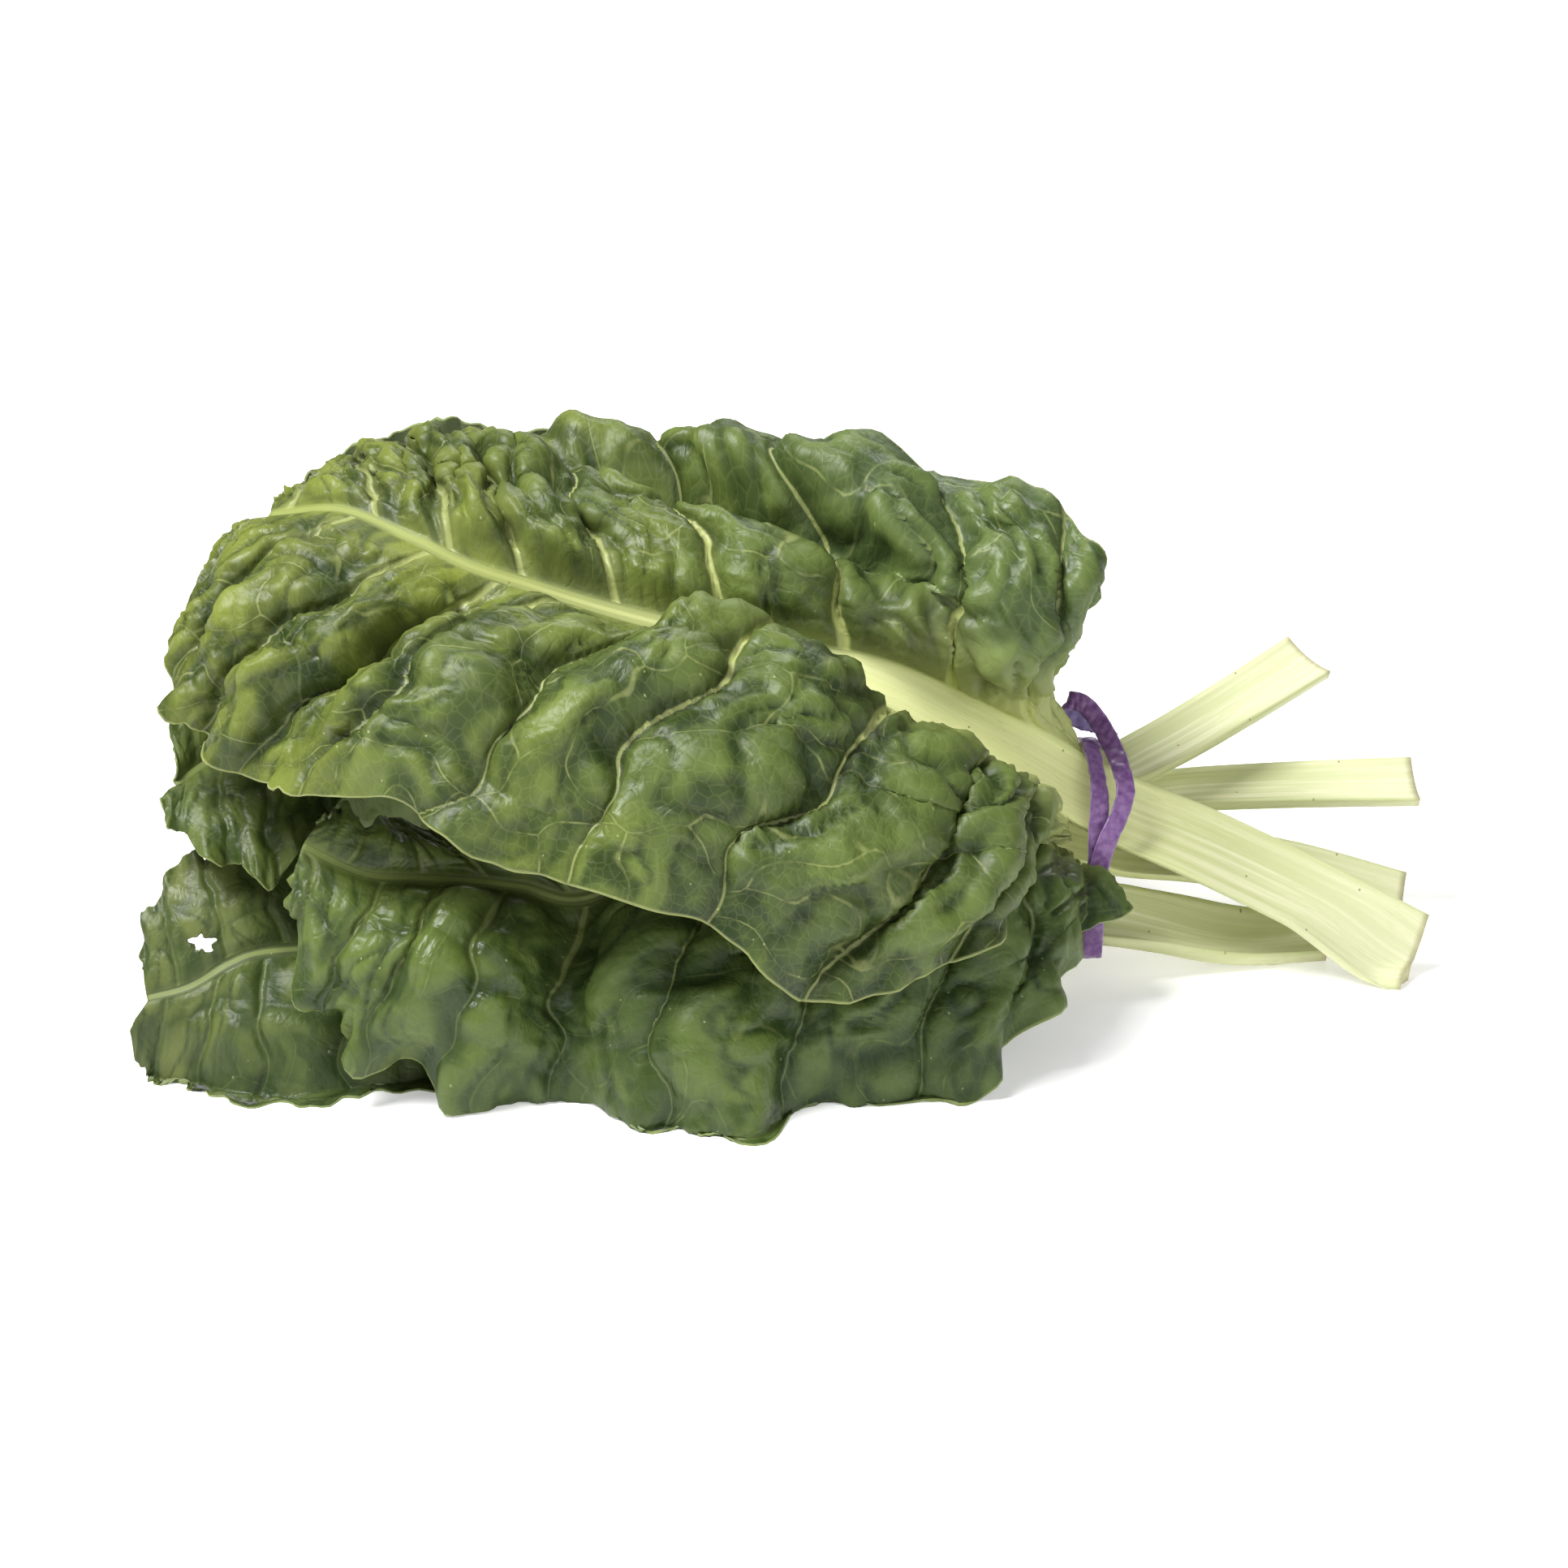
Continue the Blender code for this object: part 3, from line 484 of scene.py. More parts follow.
def leaf_tissue():
    """Colour, roughness and height of chard tissue, from the maps that a leaf carries, with painted
    shade in the hollows and creases.
    """
    tree, given, result = new_group("chard_tissue", "ShaderNodeTree", (
        ("Tip Colour", "NodeSocketColor", (0.19, 0.22, 0.04, 1)),
        ("Base Colour", "NodeSocketColor", (0.12, 0.16, 0.04, 1)),
        ("Painted Shade Colour", "NodeSocketColor", (0.035, 0.07, 0.012, 1)),
        ("Vein Colour", "NodeSocketColor", (0.42, 0.50, 0.16, 1)),
        ("Wet", "NodeSocketFloat", 0.5), ("Rib Fade", "NodeSocketFloat", 0.0),
        ("Vein Strength", "NodeSocketFloat", 1.0)),
        (("Colour", "NodeSocketColor"), ("Roughness", "NodeSocketFloat"),
         ("Height", "NodeSocketFloat")))
    # The painted shade colour is shade painted into the hollows and creases of the blade.
    painted_shade_colour, vein_colour = given.outputs["Painted Shade Colour"], given.outputs["Vein Colour"]
    strength = given.outputs["Vein Strength"]
    puffs = put(tree, "ShaderNodeAttribute", attribute_name="puffs").outputs["Vector"]
    spread = put(tree, "ShaderNodeAttribute", attribute_name="spread").outputs["Vector"]
    lane = put(tree, "ShaderNodeAttribute", attribute_name="lane").outputs["Vector"]
    under = put(tree, "ShaderNodeAttribute", attribute_name="under").outputs["Fac"]
    phase, per_vein, out = read_map(tree, "ribbing")
    b, s, pleat = read_map(tree, "zone")
    puff, fold, calm = read_map(tree, "level")
    wrinkle, crumpled, _ = read_map(tree, "creases")
    from_cut, sideways, _ = read_map(tree, "lane")
    off_rib = ease(tree, out, -0.2, 1.6)
    on_rib = maths(tree, "SUBTRACT", 1.0, off_rib)

    # The flesh is painted light on its puffs and folds and painted shade between them, with random
    # tone and a few pale dots.
    middle_net = cell_edges(tree, puffs, 1.0)
    net = cell_edges(tree, spread, NET_SCALE, "3D", 1.0)
    mottle = noise(tree, spread, 0.16, 5.0)[0]
    light = maths(tree, "MULTIPLY", puff, 0.26)
    light = maths(tree, "ADD", light, maths(tree, "MULTIPLY", fold, 0.16))
    light = maths(tree, "ADD", light, maths(tree, "MULTIPLY", pleat, 0.42))
    light = maths(tree, "ADD", light, maths(tree, "MULTIPLY", wrinkle, 0.2))
    light = maths(tree, "ADD", light, ease(tree, calm, 0.3, 0.7, -0.08, 0.1))
    light = maths(tree, "ADD", light, ease(tree, mottle, 0.25, 0.75, -0.08, 0.08))
    toward_tip = maths(tree, "ADD", s, ease(tree, calm, 0.3, 0.7, -0.1, 0.1))
    flesh = blend(tree, ease(tree, toward_tip, 0.3, 0.85), given.outputs["Base Colour"],
                  given.outputs["Tip Colour"])
    # Painted shade: where the light share is low, between puffs, folds and pleats, the flesh gives
    # way to the painted shade colour.
    colour = blend(tree, ease(tree, light, 0.08, 1.0), painted_shade_colour, flesh)
    # Painted shade: dark lines along the wrinkles, at the edges of the puffs and in the pleat
    # valleys, where shade falls in the creases.
    crease_shade_lines = maths(tree, "MULTIPLY", ease(tree, wrinkle, 0.0, 0.5, 0.85, 0.0),
                      ease(tree, crumpled, 0.2, 0.9, 0.6, 1.0))
    crease_shade_lines = maths(tree, "MAXIMUM", crease_shade_lines, ease(tree, puff, -0.1, 0.25, 0.4, 0.0))
    crease_shade_lines = maths(tree, "MAXIMUM", crease_shade_lines, ease(tree, pleat, 0.0, 0.28, 0.8, 0.0))
    colour = blend(tree, maths(tree, "MULTIPLY", crease_shade_lines, off_rib), colour, painted_shade_colour)
    lobe = maths(tree, "MULTIPLY", ease(tree, sideways, 15.0, 40.0),
                 ease(tree, s, 0.3, 0.45, 0.2, 0.0))
    colour = blend(tree, lobe, colour, LOBE_TINT)
    dots = put(tree, "ShaderNodeTexVoronoi", {"Vector": spread, "Scale": 0.22})
    chosen = put(tree, "ShaderNodeSeparateColor", {0: dots.outputs["Color"]}).outputs
    dot = maths(tree, "MULTIPLY", ease(tree, dots.outputs["Distance"], 0.05, 0.085, 0.55, 0.0),
                ease(tree, chosen[0], 0.6, 0.75))
    colour = blend(tree, dot, colour, PALE_DOT)

    # The veins are a fine net, the side veins with a soft halo, and the pale margin and base.
    fine = maths(tree, "MULTIPLY", ease(tree, net, 0.0, 0.09, 1.0, 0.0), 0.06)
    middle = maths(tree, "MULTIPLY", ease(tree, middle_net, 0.004, 0.022, 1.0, 0.0),
                   ease(tree, mottle, 0.4, 0.65, 0.06, 0.3))
    half_gap = from_half(tree, maths(tree, "FRACT", maths(tree, "ADD", phase, 0.5)))
    from_vein = maths(tree, "MULTIPLY", half_gap, per_vein)
    vein_wide = maths(tree, "MULTIPLY", ease(tree, out, 0.0, 45.0, 2.3, 0.5),
                      ease(tree, s, 0.1, 0.7, 1.4, 0.6))
    vein_wide = maths(tree, "MULTIPLY", vein_wide, ease(tree, strength, 0.3, 1.0, 0.5, 1.0))
    side_vein = ease(tree, maths(tree, "DIVIDE", from_vein, vein_wide), 0.4, 1.2, 1.0, 0.0)
    side_vein = maths(tree, "MULTIPLY", side_vein, maths(
        tree, "MULTIPLY", ease(tree, b, 0.1, 0.9, 0.95, 0.35), ease(tree, s, 0.35, 0.7, 1.0, 0.6)))
    halo = maths(tree, "MULTIPLY", ease(tree, from_vein, 0.0, 5.0, 0.25, 0.0),
                 ease(tree, out, 5.0, 40.0, 1.0, 0.1))
    veins = maths(tree, "MAXIMUM", maths(tree, "MAXIMUM", fine, middle),
                  maths(tree, "MAXIMUM", side_vein, halo))
    veins = maths(tree, "MULTIPLY", veins, strength)
    veins = maths(tree, "MAXIMUM", veins, ease(tree, b, 0.991, 0.998, 0.0, 0.5))
    reach = ease(tree, sideways, -1.0, 1.0, 30.0, 34.0)
    near_base = maths(tree, "SUBTRACT", 1.0, ease(tree, maths(tree, "DIVIDE", out, reach), 0.0, 1.0))
    near_base = maths(tree, "MULTIPLY", near_base, ease(tree, s, 0.05, 0.36, 0.85, 0.0))
    near_rib = maths(tree, "MULTIPLY", ease(tree, out, 0.0, 8.0, 0.35, 0.0),
                     ease(tree, s, 0.2, 0.8, 1.0, 0.25))
    near_rib = maths(tree, "MULTIPLY", near_rib, strength)
    veins = maths(tree, "MAXIMUM", veins, maths(tree, "MAXIMUM", near_base, near_rib))
    colour = blend(tree, veins, colour, vein_colour)

    # Stalk and midrib are pale, with strands along them, a few specks and a dry cut end.
    lanes = put(tree, "ShaderNodeMapping", {"Vector": lane, "Scale": (0.012, 0.45, 1.0)})
    lanes = put(tree, "ShaderNodeTexNoise", {"Vector": lanes.outputs[0], "Scale": 1.0, "Detail": 5.0},
                noise_dimensions="2D").outputs[0]
    pale = blend(tree, ease(tree, lanes, 0.3, 0.7), STALK_DEEP, STALK_LIGHT)
    pale = blend(tree, ease(tree, from_cut, 0.0, 90.0, 0.4, 0.0), pale, STALK_BY_CUT)
    pale = blend(tree, ease(tree, from_cut, 60.0, 115.0, 0.0, 0.75), pale, STALK_BY_BLADE)
    strand = ease(tree, from_half(tree, lanes), 0.0, 0.012, 0.3, 0.0)
    pale = blend(tree, strand, pale, STRAND)
    ripe = blend(tree, ease(tree, s, 0.25, 0.7), pale, vein_colour)
    ripe = blend(tree, ease(tree, s, 0.4, 1.0, 0.0, 0.7), ripe, flesh)
    ripe = blend(tree, ease(tree, out, -1.6, 0.0, 0.0, 0.3), ripe, RIB_EDGE)
    thin = maths(tree, "MULTIPLY", given.outputs["Rib Fade"], ease(tree, s, 0.25, 0.5))
    off_middle = maths(tree, "ABSOLUTE", sideways)
    thin = maths(tree, "MULTIPLY", thin, ease(tree, off_middle, 0.3, 1.1, 0.3, 1.0))
    ripe = blend(tree, thin, ripe, blend(tree, 0.1, colour, vein_colour))
    blemish = put(tree, "ShaderNodeTexVoronoi", {"Vector": lane, "Scale": 0.085},
                  voronoi_dimensions="2D")
    seldom = put(tree, "ShaderNodeSeparateColor", {0: blemish.outputs["Color"]}).outputs[0]
    speck = maths(tree, "MULTIPLY", ease(tree, blemish.outputs["Distance"], 0.015, 0.045, 0.7, 0.0),
                  ease(tree, seldom, 0.9, 0.92))
    ripe = blend(tree, speck, ripe, BLEMISH)
    ripe = blend(tree, ease(tree, from_cut, 0.3, 2.5, 0.5, 0.0), ripe, DRY_CUT)
    colour = blend(tree, on_rib, colour, ripe)

    # The underside is duller, and wet patches are smoother than the rest.
    dull = blend(tree, 0.5, colour, UNDERSIDE)
    colour = blend(tree, maths(tree, "MULTIPLY", under, off_rib), colour, dull)

    film = maths(tree, "MULTIPLY", ease(tree, calm, 0.5, 0.62), given.outputs["Wet"])
    rough = maths(tree, "SUBTRACT", ease(tree, mottle, 0.3, 0.7, 0.42, 0.52),
                  maths(tree, "MULTIPLY", film, 0.2))
    rough = maths(tree, "ADD", rough, maths(
        tree, "MULTIPLY", maths(tree, "MAXIMUM", under, on_rib), 0.1))

    # The fine relief has the net, sunken side veins, small creases and grooves on the stalk.
    high = maths(tree, "MULTIPLY", ease(tree, net, 0.0, 0.3), 0.16)
    high = maths(tree, "ADD", high, maths(tree, "MULTIPLY", mottle, 0.7))
    sunken = maths(tree, "MULTIPLY", ease(tree, from_vein, 0.0, 2.2, 1.0, 0.0), -1.2)
    high = maths(tree, "ADD", high, sunken)
    fine_crease = from_half(tree, noise(tree, spread, 0.11, 3.0, 1.2)[0])
    fine_crease = maths(tree, "MULTIPLY", ease(tree, fine_crease, 0.0, 0.12), 0.22)
    high = maths(tree, "MULTIPLY", maths(tree, "ADD", high, fine_crease), off_rib)
    grooves = maths(tree, "MULTIPLY", lanes, on_rib)
    high = maths(tree, "ADD", high, grooves)
    high = maths(tree, "SUBTRACT", high, maths(tree, "MULTIPLY", speck, 0.3))
    for socket, value in zip(result.inputs, (colour, rough, high)):
        tree.links.new(value, socket)
    return tree


tissue = leaf_tissue()


# The third colour of a leaf material is painted shade for the hollows and creases of its blade.
def leaf_material(name, tip_colour, base_colour, painted_shade_colour, vein_colour, wet, rib_fade, veins):
    material = bpy.data.materials.new(name)
    material.use_nodes = True
    tree = material.node_tree
    shader = tree.nodes["Principled BSDF"]
    skin = put(tree, "ShaderNodeGroup", node_tree=tissue)
    for socket, value in (("Tip Colour", tip_colour), ("Base Colour", base_colour),
                          ("Painted Shade Colour", painted_shade_colour), ("Vein Colour", vein_colour),
                          ("Wet", wet), ("Rib Fade", rib_fade), ("Vein Strength", veins)):
        skin.inputs[socket].default_value = value
    tree.links.new(skin.outputs["Colour"], shader.inputs["Base Color"])
    tree.links.new(skin.outputs["Roughness"], shader.inputs["Roughness"])
    bump = put(tree, "ShaderNodeBump", {"Height": skin.outputs["Height"],
                                        "Distance": 0.0005, "Strength": 0.8})
    tree.links.new(bump.outputs[0], shader.inputs["Normal"])
    shader.inputs["IOR"].default_value = 1.45
    shader.inputs["Specular IOR Level"].default_value = 0.4
    return material


def dress(body, material, node):
    body.data.materials.append(material)
    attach(body, "root")
    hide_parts(node)


top_skin = leaf_body(TOP_LEAF, 1.2, 1.6, 4.2, 0.3)
dress(top_skin, leaf_material("top_leaf_skin", (0.165, 0.20, 0.03, 1), (0.11, 0.155, 0.032, 1),
                              (0.014, 0.03, 0.004, 1), (0.46, 0.50, 0.18, 1), 0.4, 0.5, 1.0),
      "top_leaf")

# The front leaf lies under the top one and folds down over the front of the bunch to the
# table. Its blade is darker and its margin is frilled toward the stalk.
FRONT_LEAF = dict(
    name="front_leaf", seed=23, grid=(60, 190, 84, 7), veins=((9.0, 0.1), (8.0, 0.5)),
    pleat=8.0, ruffles=12, ruffle=4.0, scallops=9.0, scallop=4.0, frill=(2.4, 24),
    base_frill=1.2, even=0.45,
    stalk=((197, 37, 17, 30, 20), (160, 37, 28, 30, 20), (130, 36, 33, 30, 20),
           (106, 34, 36, 31, 20)),
    blade=(
        ((90, 26, 43, 33, 19), (88, 3, 38, 0, 0), (88, 42, 54, 0, 0)),
        ((72, 13, 55, 38, 17), (103, -9, 34.5, 2, 0), (70, 26, 66, 2, 0)),
        ((52, 0, 61, 42, 14), (79, -46, 23, 14, 0), (45, 16, 74, 3, 0)),
        ((28, -12, 65, 45, 11), (58, -74, 5, 14, 2), (15, 3, 82, 4, 0)),
        ((0, -25, 66, 47, 8), (18, -78, -2, 14, 3), (-15, -10, 82, 4, 0)),
        ((-30, -38, 66, 48, 5.5), (-23, -102, -5, 14, 4), (-45, -22, 80, 4, 0)),
        ((-60, -47, 54, 48, 4), (-60, -76, -4, 12, 4), (-78, -32, 76, 4, 0)),
        ((-79, -50, 59, 48, 3.2), (-91, -82, 5, 12, 4), (-103, -36, 75, 4, 0)),
        ((-96, -52, 62, 48, 2.8), (-118, -78, 15, 11, 3), (-118, -40, 74, 4, 0)),
        ((-109, -55, 64, 48, 2.5), (-137, -74, 25, 10, 3), (-118, -46, 77, 4, 0)),
        ((-125, -59, 67, 48, 2.2), (-147, -68, 50, 6, 1), (-129, -49, 83, 3, 0)),
        ((-143, -59, 76, 48, 2), (-146, -62, 68, 1, 0), (-138, -54, 83, 1, 0))),
    folds=(), swells=((-1, 0.7, 0.45, 0.1, 0.35, 7), (-1, 0.56, 0.4, 0.05, 0.4, -8)))
front_skin = leaf_body(FRONT_LEAF, 0.7, 1.6, 2.6, 0.2)
dress(front_skin, leaf_material("front_leaf_skin", (0.10, 0.14, 0.028, 1), (0.09, 0.135, 0.03, 1),
                                (0.015, 0.033, 0.006, 1), (0.32, 0.38, 0.11, 1), 0.6, 0.8, 0.6),
      "front_leaf")

# The side leaf lies behind these two, and its tip shows at the left. Like them it grew as
# one piece, and the tie holds its stalk.
SIDE_LEAF = dict(
    name="side_leaf", seed=37, grid=(60, 130, 60, 6), veins=((8.0, 0.3), (8.0, 0.8)),
    pleat=5.0, ruffles=10, ruffle=2.5, scallops=9.0, scallop=2.5, frill=(2.0, 24), even=0.5,
    stalk=((203, 66, 46, 20, 20), (158, 63, 46, 14, 20), (122, 60, 45, 10, 20),
           (104, 58, 41, 6, 20)),
    blade=(
        ((86, 55, 44, 10, 18), (85, 38, 42, 0, 0), (84, 72, 48, 0, 0)),
        ((60, 48, 56, 15, 16), (56, 28, 53, 3, 0), (56, 66, 62, 3, 0)),
        ((25, 42, 72, 18, 13), (20, 20, 68, 4, 0), (18, 75, 80, 4, 0)),
        ((-15, 36, 82, 18, 10), (-22, 8, 78, 5, 2), (-25, 76, 90, 5, 2)),
        ((-60, 28, 90, 18, 7.5), (-66, -4, 84, 5, 2), (-72, 66, 100, 5, 3)),
        ((-100, 18, 96, 20, 5), (-105, -15, 88, 5, 2), (-110, 52, 110, 5, 3)),
        ((-132, 8, 97, 25, 3.8), (-135, -28, 78, 5, 2), (-140, 35, 115, 5, 2)),
        ((-155, 0, 93, 30, 3), (-151, -48, 61, 5, 2), (-162, 20, 112, 4, 1)),
        ((-168, -8, 88, 35, 2.6), (-166, -48, 65, 4, 1), (-178, 5, 108, 3, 0)),
        ((-178, -16, 84, 40, 2.3), (-182, -42, 72, 3, 0), (-186, -12, 96, 2, 0)),
        ((-184, -24, 82, 42, 2), (-188, -34, 80, 1, 0), (-184, -22, 88, 1, 0))),
    folds=(), swells=())
side_skin = leaf_body(SIDE_LEAF, 0.5, 1.2, 1.6, 0.2)
dress(side_skin, leaf_material("side_leaf_skin", (0.105, 0.14, 0.028, 1), (0.09, 0.13, 0.028, 1),
                               (0.016, 0.034, 0.006, 1), (0.28, 0.34, 0.10, 1), 0.3, 0.8, 0.45),
      "side_leaf")

# The low leaf is the lowest. Its thin blade lies on the table at the left, with a torn hole,
# and its stalk is the lowest one in the tie.
LOW_LEAF = dict(
    name="low_leaf", seed=41, grid=(55, 150, 70, 6), veins=((8.0, 0.35), (8.0, 0.6)),
    pleat=5.0, ruffles=11, ruffle=2.5, scallops=8.0, scallop=2.5, frill=(1.8, 26), even=0.6,
    stalk=((170, 35, 9, 8, 20), (142, 28, 12, 18, 20), (118, 21, 18, 27, 20),
           (103, 17, 21.5, 33, 20)),
    blade=(
        ((86, 15, 22, 30, 18), (85, 0, 13, 0, 0), (85, 30, 31, 0, 0)),
        ((60, 14, 20, 25, 16), (55, -10, 6, 3, 0), (55, 34, 32, 3, 0)),
        ((25, 8, 19, 25, 13), (20, -26, 2, 5, 2), (15, 42, 36, 4, 2)),
        ((-15, 0, 19, 25, 10), (-20, -40, 0, 6, 3), (-25, 40, 38, 5, 3)),
        ((-60, -12, 22, 28, 7.5), (-62, -57, -8, 6, 3), (-70, 28, 42, 5, 3)),
        ((-100, -26, 28, 35, 5), (-100, -66, -10, 6, 2), (-112, 5, 50, 5, 3)),
        ((-130, -38, 34, 42, 3.8), (-136, -76, -12, 6, 2), (-145, -12, 60, 4, 2)),
        ((-156, -46, 36, 45, 3), (-158, -79, -12, 5, 1), (-166, -24, 63, 4, 1)),
        ((-167, -50, 34, 46, 2.6), (-180, -66, -8, 4, 1), (-180, -30, 60, 4, 0)),
        ((-179, -54, 28, 46, 2.3), (-193, -60, 2, 2, 0), (-192, -40, 50, 2, 0)),
        ((-192, -56, 25, 46, 2), (-197, -61, 17, 1, 0), (-194, -49, 36, 1, 0))),
    folds=(), swells=())
TEAR_AT = (-175.3, -49.3, 40.0)      # middle of the torn hole
TEAR_HALF = 4.6                      # mm from there to the farthest of its rim, about


def torn_cells(points):
    """Cells inside the ragged tear of the low leaf, and the points with its rim in place."""
    away = points - TEAR_AT
    reach = np.linalg.norm(away, axis=2)
    angle = np.arctan2(away[..., 2], away[..., 0])
    ragged = 0.62 + 0.20 * np.sin(2 * angle + 1.9) + 0.17 * np.sin(5 * angle)
    limit = TEAR_HALF * (ragged + 0.10 * np.sin(9 * angle))
    inside = reach < limit
    gone = (inside[1:, 1:] & inside[:-1, :-1]) | (inside[1:, :-1] & inside[:-1, 1:])
    corners = np.zeros(inside.shape, bool)
    kept = np.zeros(inside.shape, bool)
    for i in (slice(1, None), slice(None, -1)):
        for j in (slice(1, None), slice(None, -1)):
            corners[i, j] |= gone
            kept[i, j] |= ~gone
    rim = corners & kept
    moved = TEAR_AT + away * (limit / np.maximum(reach, 0.1))[..., None]
    return gone, np.where(rim[..., None], moved, points)


low_skin = leaf_body(LOW_LEAF, 0.3, 1.2, 1.0, 0.1, torn_cells)
dress(low_skin, leaf_material("low_leaf_skin", (0.11, 0.135, 0.034, 1), (0.09, 0.13, 0.03, 1),
                              (0.022, 0.04, 0.008, 1), (0.27, 0.33, 0.10, 1), 0.15, 1.0, 0.4),
      "low_leaf")

# The back leaf stands on its edge behind the bunch, and its rim shows over the top. Its
# stalk comes out at the back of the tie.
BACK_LEAF = dict(
    name="back_leaf", seed=53, grid=(60, 150, 70, 6), veins=((8.0, 0.4), (8.0, 0.9)),
    pleat=6.0, ruffles=10, ruffle=3.0, scallops=8.0, scallop=3.0, frill=(0.8, 18),
    stalk=((170, 92, 79, 25, 20), (143, 73, 69, 18, 20), (119, 57, 61, 14, 20),
           (103, 50, 57, 10, 20)),
    blade=(
        ((86, 50, 62, 4, 18), (86, 34, 66, 0, 0), (85, 68, 62, 0, 0)),
        ((62, 58, 76, -10, 16), (77, 46, 107, 4, 0), (58, 84, 58, 4, 0)),
        ((30, 70, 92, -25, 13), (76, 62, 117, 4, 2), (22, 102, 48, 5, 2)),
        ((-5, 82, 100, -40, 10), (5, 78, 150, 4, 3), (-12, 110, 30, 6, 3)),
        ((-45, 90, 102, -50, 7.5), (-50, 78, 158, 4, 3), (-50, 110, 2, 6, 3)),
        ((-85, 90, 102, -52, 5.5), (-92, 70, 164, 4, 2), (-95, 105, -8, 5, 2)),
        ((-115, 84, 98, -50, 4), (-115, 70, 165, 4, 2), (-128, 94, -5, 5, 2)),
        ((-138, 74, 92, -48, 3.2), (-136, 62, 156, 4, 1), (-150, 78, 12, 6, 1)),
        ((-152, 64, 88, -45, 2.6), (-150, 52, 148, 3, 0), (-163, 64, 35, 4, 0)),
        ((-168, 52, 88, -42, 2), (-165, 48, 108, 1, 0), (-169, 55, 66, 1, 0))),
    folds=(), swells=(), on_edge=True)
back_skin = leaf_body(BACK_LEAF, 1.0, 1.6, 2.2, 0.2)
dress(back_skin, leaf_material("back_leaf_skin", (0.09, 0.13, 0.028, 1), (0.085, 0.125, 0.028, 1),
                               (0.016, 0.034, 0.006, 1), (0.28, 0.34, 0.10, 1), 0.4, 0.7, 0.6),
      "back_leaf")

# The tie is a flat band of thin ribbon, wound twice round the stalks with a slack loop on
# top. Its face is deep purple and its reverse a light violet.
BAND_WIDE = 6.0
BAND_THICK = 0.7
TIE_STEPS = 420            # cells along the band
TIE_COLS = 8               # cells across it
FACE_COLOURS = ((0.15, 0.06, 0.21, 1), (0.25, 0.13, 0.32, 1))
REVERSE_COLOURS = ((0.26, 0.20, 0.44, 1), (0.36, 0.29, 0.56, 1))
EDGE_COLOUR = (0.45, 0.36, 0.58, 1)
# A route point is a point of the band's middle line, then the direction across the band.
TIE_ROUTE = (
    (97, 24, 14, 1, 0, 0), (96.5, 12, 11.5, 1, 0, 0), (96.5, 5.5, 15.5, 1, 0, 0),
    (97, 4.6, 30, 1, 0, 0), (97.5, 5, 44, 1, 0, -0.1), (97.5, 6.2, 54, 0.9, 0.1, -0.3),
    (98, 9, 63, 0.87, 0.1, -0.35), (97.5, 15.5, 69.5, 0.8, 0.2, -0.5), (96, 24, 75, 0.9, 0, -0.4),
    (96, 32, 73.5, 1, 0, -0.2), (96.5, 45, 68, 1, 0, 0), (96.5, 60, 63.5, 1, 0, 0),
    (97, 68, 56, 1, 0, 0), (96.5, 71, 45, 1, 0, 0), (96.5, 68, 37, 1, 0, 0),
    (97, 58, 28, 1, 0, 0), (97.5, 46, 20.5, 1, 0, 0), (97.5, 35, 14.5, 1, 0, 0),
    (97, 24, 11.6, 1, 0, 0), (96.5, 11.5, 9.4, 1, 0, 0), (96.5, 3.5, 14.3, 1, 0, 0),
    (97, 2.8, 30, 1, 0, 0), (98, 2.8, 43, 1, 0, -0.3), (100.5, 3.4, 52, 0.8, 0, -0.7),
    (104, 6, 59, 0.9, 0.2, -0.4), (106, 9.5, 66, 0.9, 0.3, -0.1), (104.5, 17, 71.5, 0.8, 0.4, 0.1),
    (102, 25, 75.5, 0.8, 0.2, 0.4), (98.5, 31, 80.5, 0.7, 0, 0.7), (94, 34, 85, 0.6, 0, 0.8),
    (89.5, 36, 85.5, 0.5, 0, 0.85), (88.5, 38.5, 81.5, 0.6, 0, 0.8), (93, 40.5, 77.5, 0.7, 0, 0.7),
    (99, 44, 74, 0.9, 0, 0.4), (102.5, 51, 69, 1, 0, 0), (103.5, 60, 64.5, 1, 0, 0),
    (103.5, 68, 56, 1, 0, 0), (104, 71.5, 46, 1, 0, 0), (104, 69, 39, 1, 0, 0),
    (103, 58, 33.5, 1, 0, 0), (100.5, 46, 26, 1, 0, 0), (98.5, 35, 19.5, 1, 0, 0))


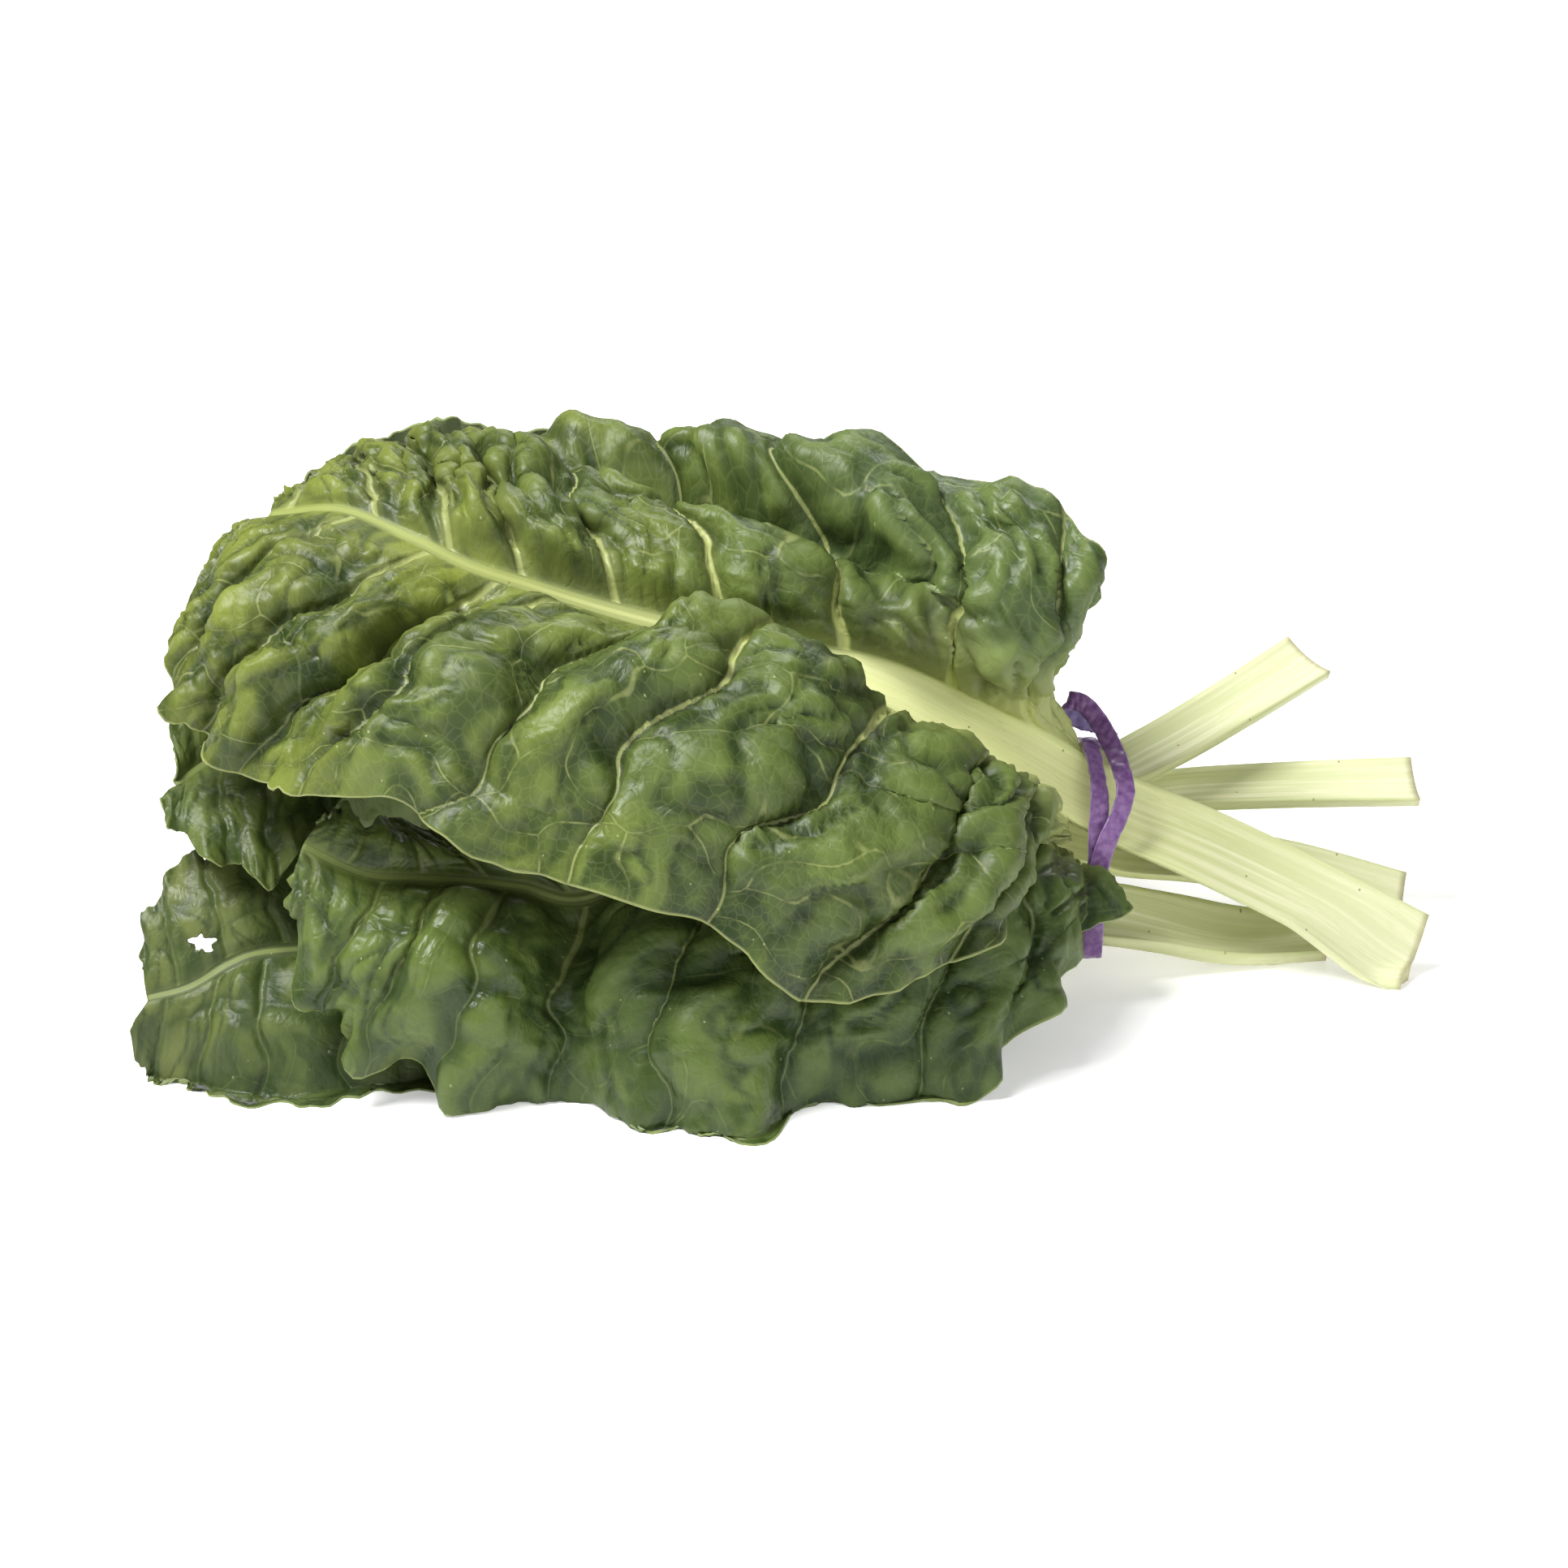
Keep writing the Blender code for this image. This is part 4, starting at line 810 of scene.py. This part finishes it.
def tie_body():
    route = np.array(TIE_ROUTE, float)
    count = len(route)
    path = through(np.concatenate([route[-3:], route, route[:4]]),
                   np.linspace(3, 3 + count, TIE_STEPS + 1) / (count + 6))
    path[-1] = path[0]
    along = unit(np.roll(path[:-1, :3], -1, 0) - np.roll(path[:-1, :3], 1, 0))
    along = np.concatenate([along, along[:1]])
    wide = path[:, 3:] - (path[:, 3:] * along).sum(1, keepdims=True) * along
    wide = unit(wide)
    face = np.cross(along, wide)
    over = np.linspace(-1, 1, TIE_COLS + 1)
    turns = np.linspace(0, 2 * np.pi, TIE_STEPS + 1)[:, None]
    buckle = 0.2 * np.sin(63 * turns + 2.2 * over[None])
    buckle = buckle + 0.14 * np.sin(118 * turns - 3.0 * over[None])
    curl = 0.3 * over[None] ** 2
    points = (path[:, None, :3] + wide[:, None] * (over * BAND_WIDE / 2)[None, :, None]
              + face[:, None] * (buckle + curl)[..., None])
    mesh = bpy.data.meshes.new("tie_band")
    bm = bmesh.new()
    bmesh.ops.create_grid(bm, x_segments=TIE_COLS, y_segments=TIE_STEPS, size=1)
    strip = bm.verts.layers.float_vector.new("strip")
    places = (points.reshape(-1, 3) - MIDDLE) * MM
    for number, vert in enumerate(bm.verts):
        vert.co = places[number]
        vert[strip] = (number // (TIE_COLS + 1), over[number % (TIE_COLS + 1)], 0)
    bmesh.ops.remove_doubles(bm, verts=bm.verts[:], dist=0.00001)
    bm.to_mesh(mesh)
    bm.free()
    body = bpy.data.objects.new("tie_band", mesh)
    bpy.context.collection.objects.link(body)
    shell = body.modifiers.new("thickness", "SOLIDIFY")
    shell.thickness = BAND_THICK * MM
    shell.offset = 0
    apply_all(body)
    half = len(body.data.vertices) // 2
    inner = body.data.attributes.new("inner", "FLOAT", "POINT")
    inner.data.foreach_set("value", np.arange(2 * half) >= half)
    body.data.shade_smooth()
    return body


def tie_material():
    material = bpy.data.materials.new("tie_band")
    material.use_nodes = True
    tree = material.node_tree
    shader = tree.nodes["Principled BSDF"]
    strip = put(tree, "ShaderNodeSeparateXYZ",
                {0: put(tree, "ShaderNodeAttribute", attribute_name="strip").outputs["Vector"]})
    inner = put(tree, "ShaderNodeAttribute", attribute_name="inner").outputs["Fac"]
    place = put(tree, "ShaderNodeTexCoord").outputs["Object"]
    grain = noise(tree, place, 500.0, 3.0)[0]
    face = blend(tree, ease(tree, grain, 0.3, 0.7), *FACE_COLOURS)
    back = blend(tree, ease(tree, grain, 0.3, 0.7), *REVERSE_COLOURS)
    colour = blend(tree, inner, face, back)
    edge = ease(tree, maths(tree, "ABSOLUTE", strip.outputs[1]), 0.86, 0.98)
    colour = blend(tree, maths(tree, "MULTIPLY", edge, 0.5), colour, EDGE_COLOUR)
    tree.links.new(colour, shader.inputs["Base Color"])
    bump = put(tree, "ShaderNodeBump", {"Height": grain, "Distance": 0.0001, "Strength": 0.6})
    tree.links.new(bump.outputs[0], shader.inputs["Normal"])
    shader.inputs["Roughness"].default_value = 0.34
    return material


tie_band = tie_body()
dress(tie_band, tie_material(), "tie")

# The table is a plain white surface with soft daylight from the upper left, a weak light
# from the front and one from behind.
bm = bmesh.new()
bmesh.ops.create_grid(bm, x_segments=1, y_segments=1, size=6)
mesh = bpy.data.meshes.new("table")
bm.to_mesh(mesh)
bm.free()
table = bpy.data.objects.new("table", mesh)
bpy.context.collection.objects.link(table)
table_top = bpy.data.materials.new("table")
table_top.use_nodes = True
surface = table_top.node_tree.nodes["Principled BSDF"]
for socket, value in (("Base Color", (0.9, 0.9, 0.9, 1)), ("Roughness", 0.9),
                      ("Emission Color", (1, 1, 1, 1)), ("Emission Strength", 0.36)):
    surface.inputs[socket].default_value = value
mesh.materials.append(table_top)

AIM = Vector((-0.003, -0.0065, 0.072))      # the point that lights and camera face
for name, place, size, power in (("window", (-0.65, -0.38, 1.35), 0.6, 35.0),
                                 ("fill", (0.7, -1.3, 0.8), 1.2, 6.5),
                                 ("rim", (0.3, 1.2, 1.2), 0.8, 9.0)):
    light = bpy.data.lights.new(name, "AREA")
    light.size = size
    light.energy = power
    lamp = bpy.data.objects.new(name, light)
    lamp.location = place
    lamp.rotation_euler = (AIM - Vector(place)).to_track_quat("-Z", "Y").to_euler()
    bpy.context.collection.objects.link(lamp)
sky = bpy.data.worlds.new("sky")
sky.use_nodes = True
sky.node_tree.nodes["Background"].inputs["Color"].default_value = (1, 1, 1, 1)
sky.node_tree.nodes["Background"].inputs["Strength"].default_value = 0.24
bpy.context.scene.world = sky

ELEVATION = math.radians(22)
AWAY = 1.6                 # m from the camera to that point
WIDE_AT_AIM = 0.483        # m that the picture spans there
camera_data = bpy.data.cameras.new("camera")
camera_data.lens = camera_data.sensor_width * AWAY / WIDE_AT_AIM
camera = bpy.data.objects.new("camera", camera_data)
camera.location = AIM + AWAY * Vector((0, -math.cos(ELEVATION), math.sin(ELEVATION)))
camera.rotation_euler = (AIM - camera.location).to_track_quat("-Z", "Y").to_euler()
bpy.context.collection.objects.link(camera)
bpy.context.scene.camera = camera
bpy.context.scene.view_settings.view_transform = "Standard"
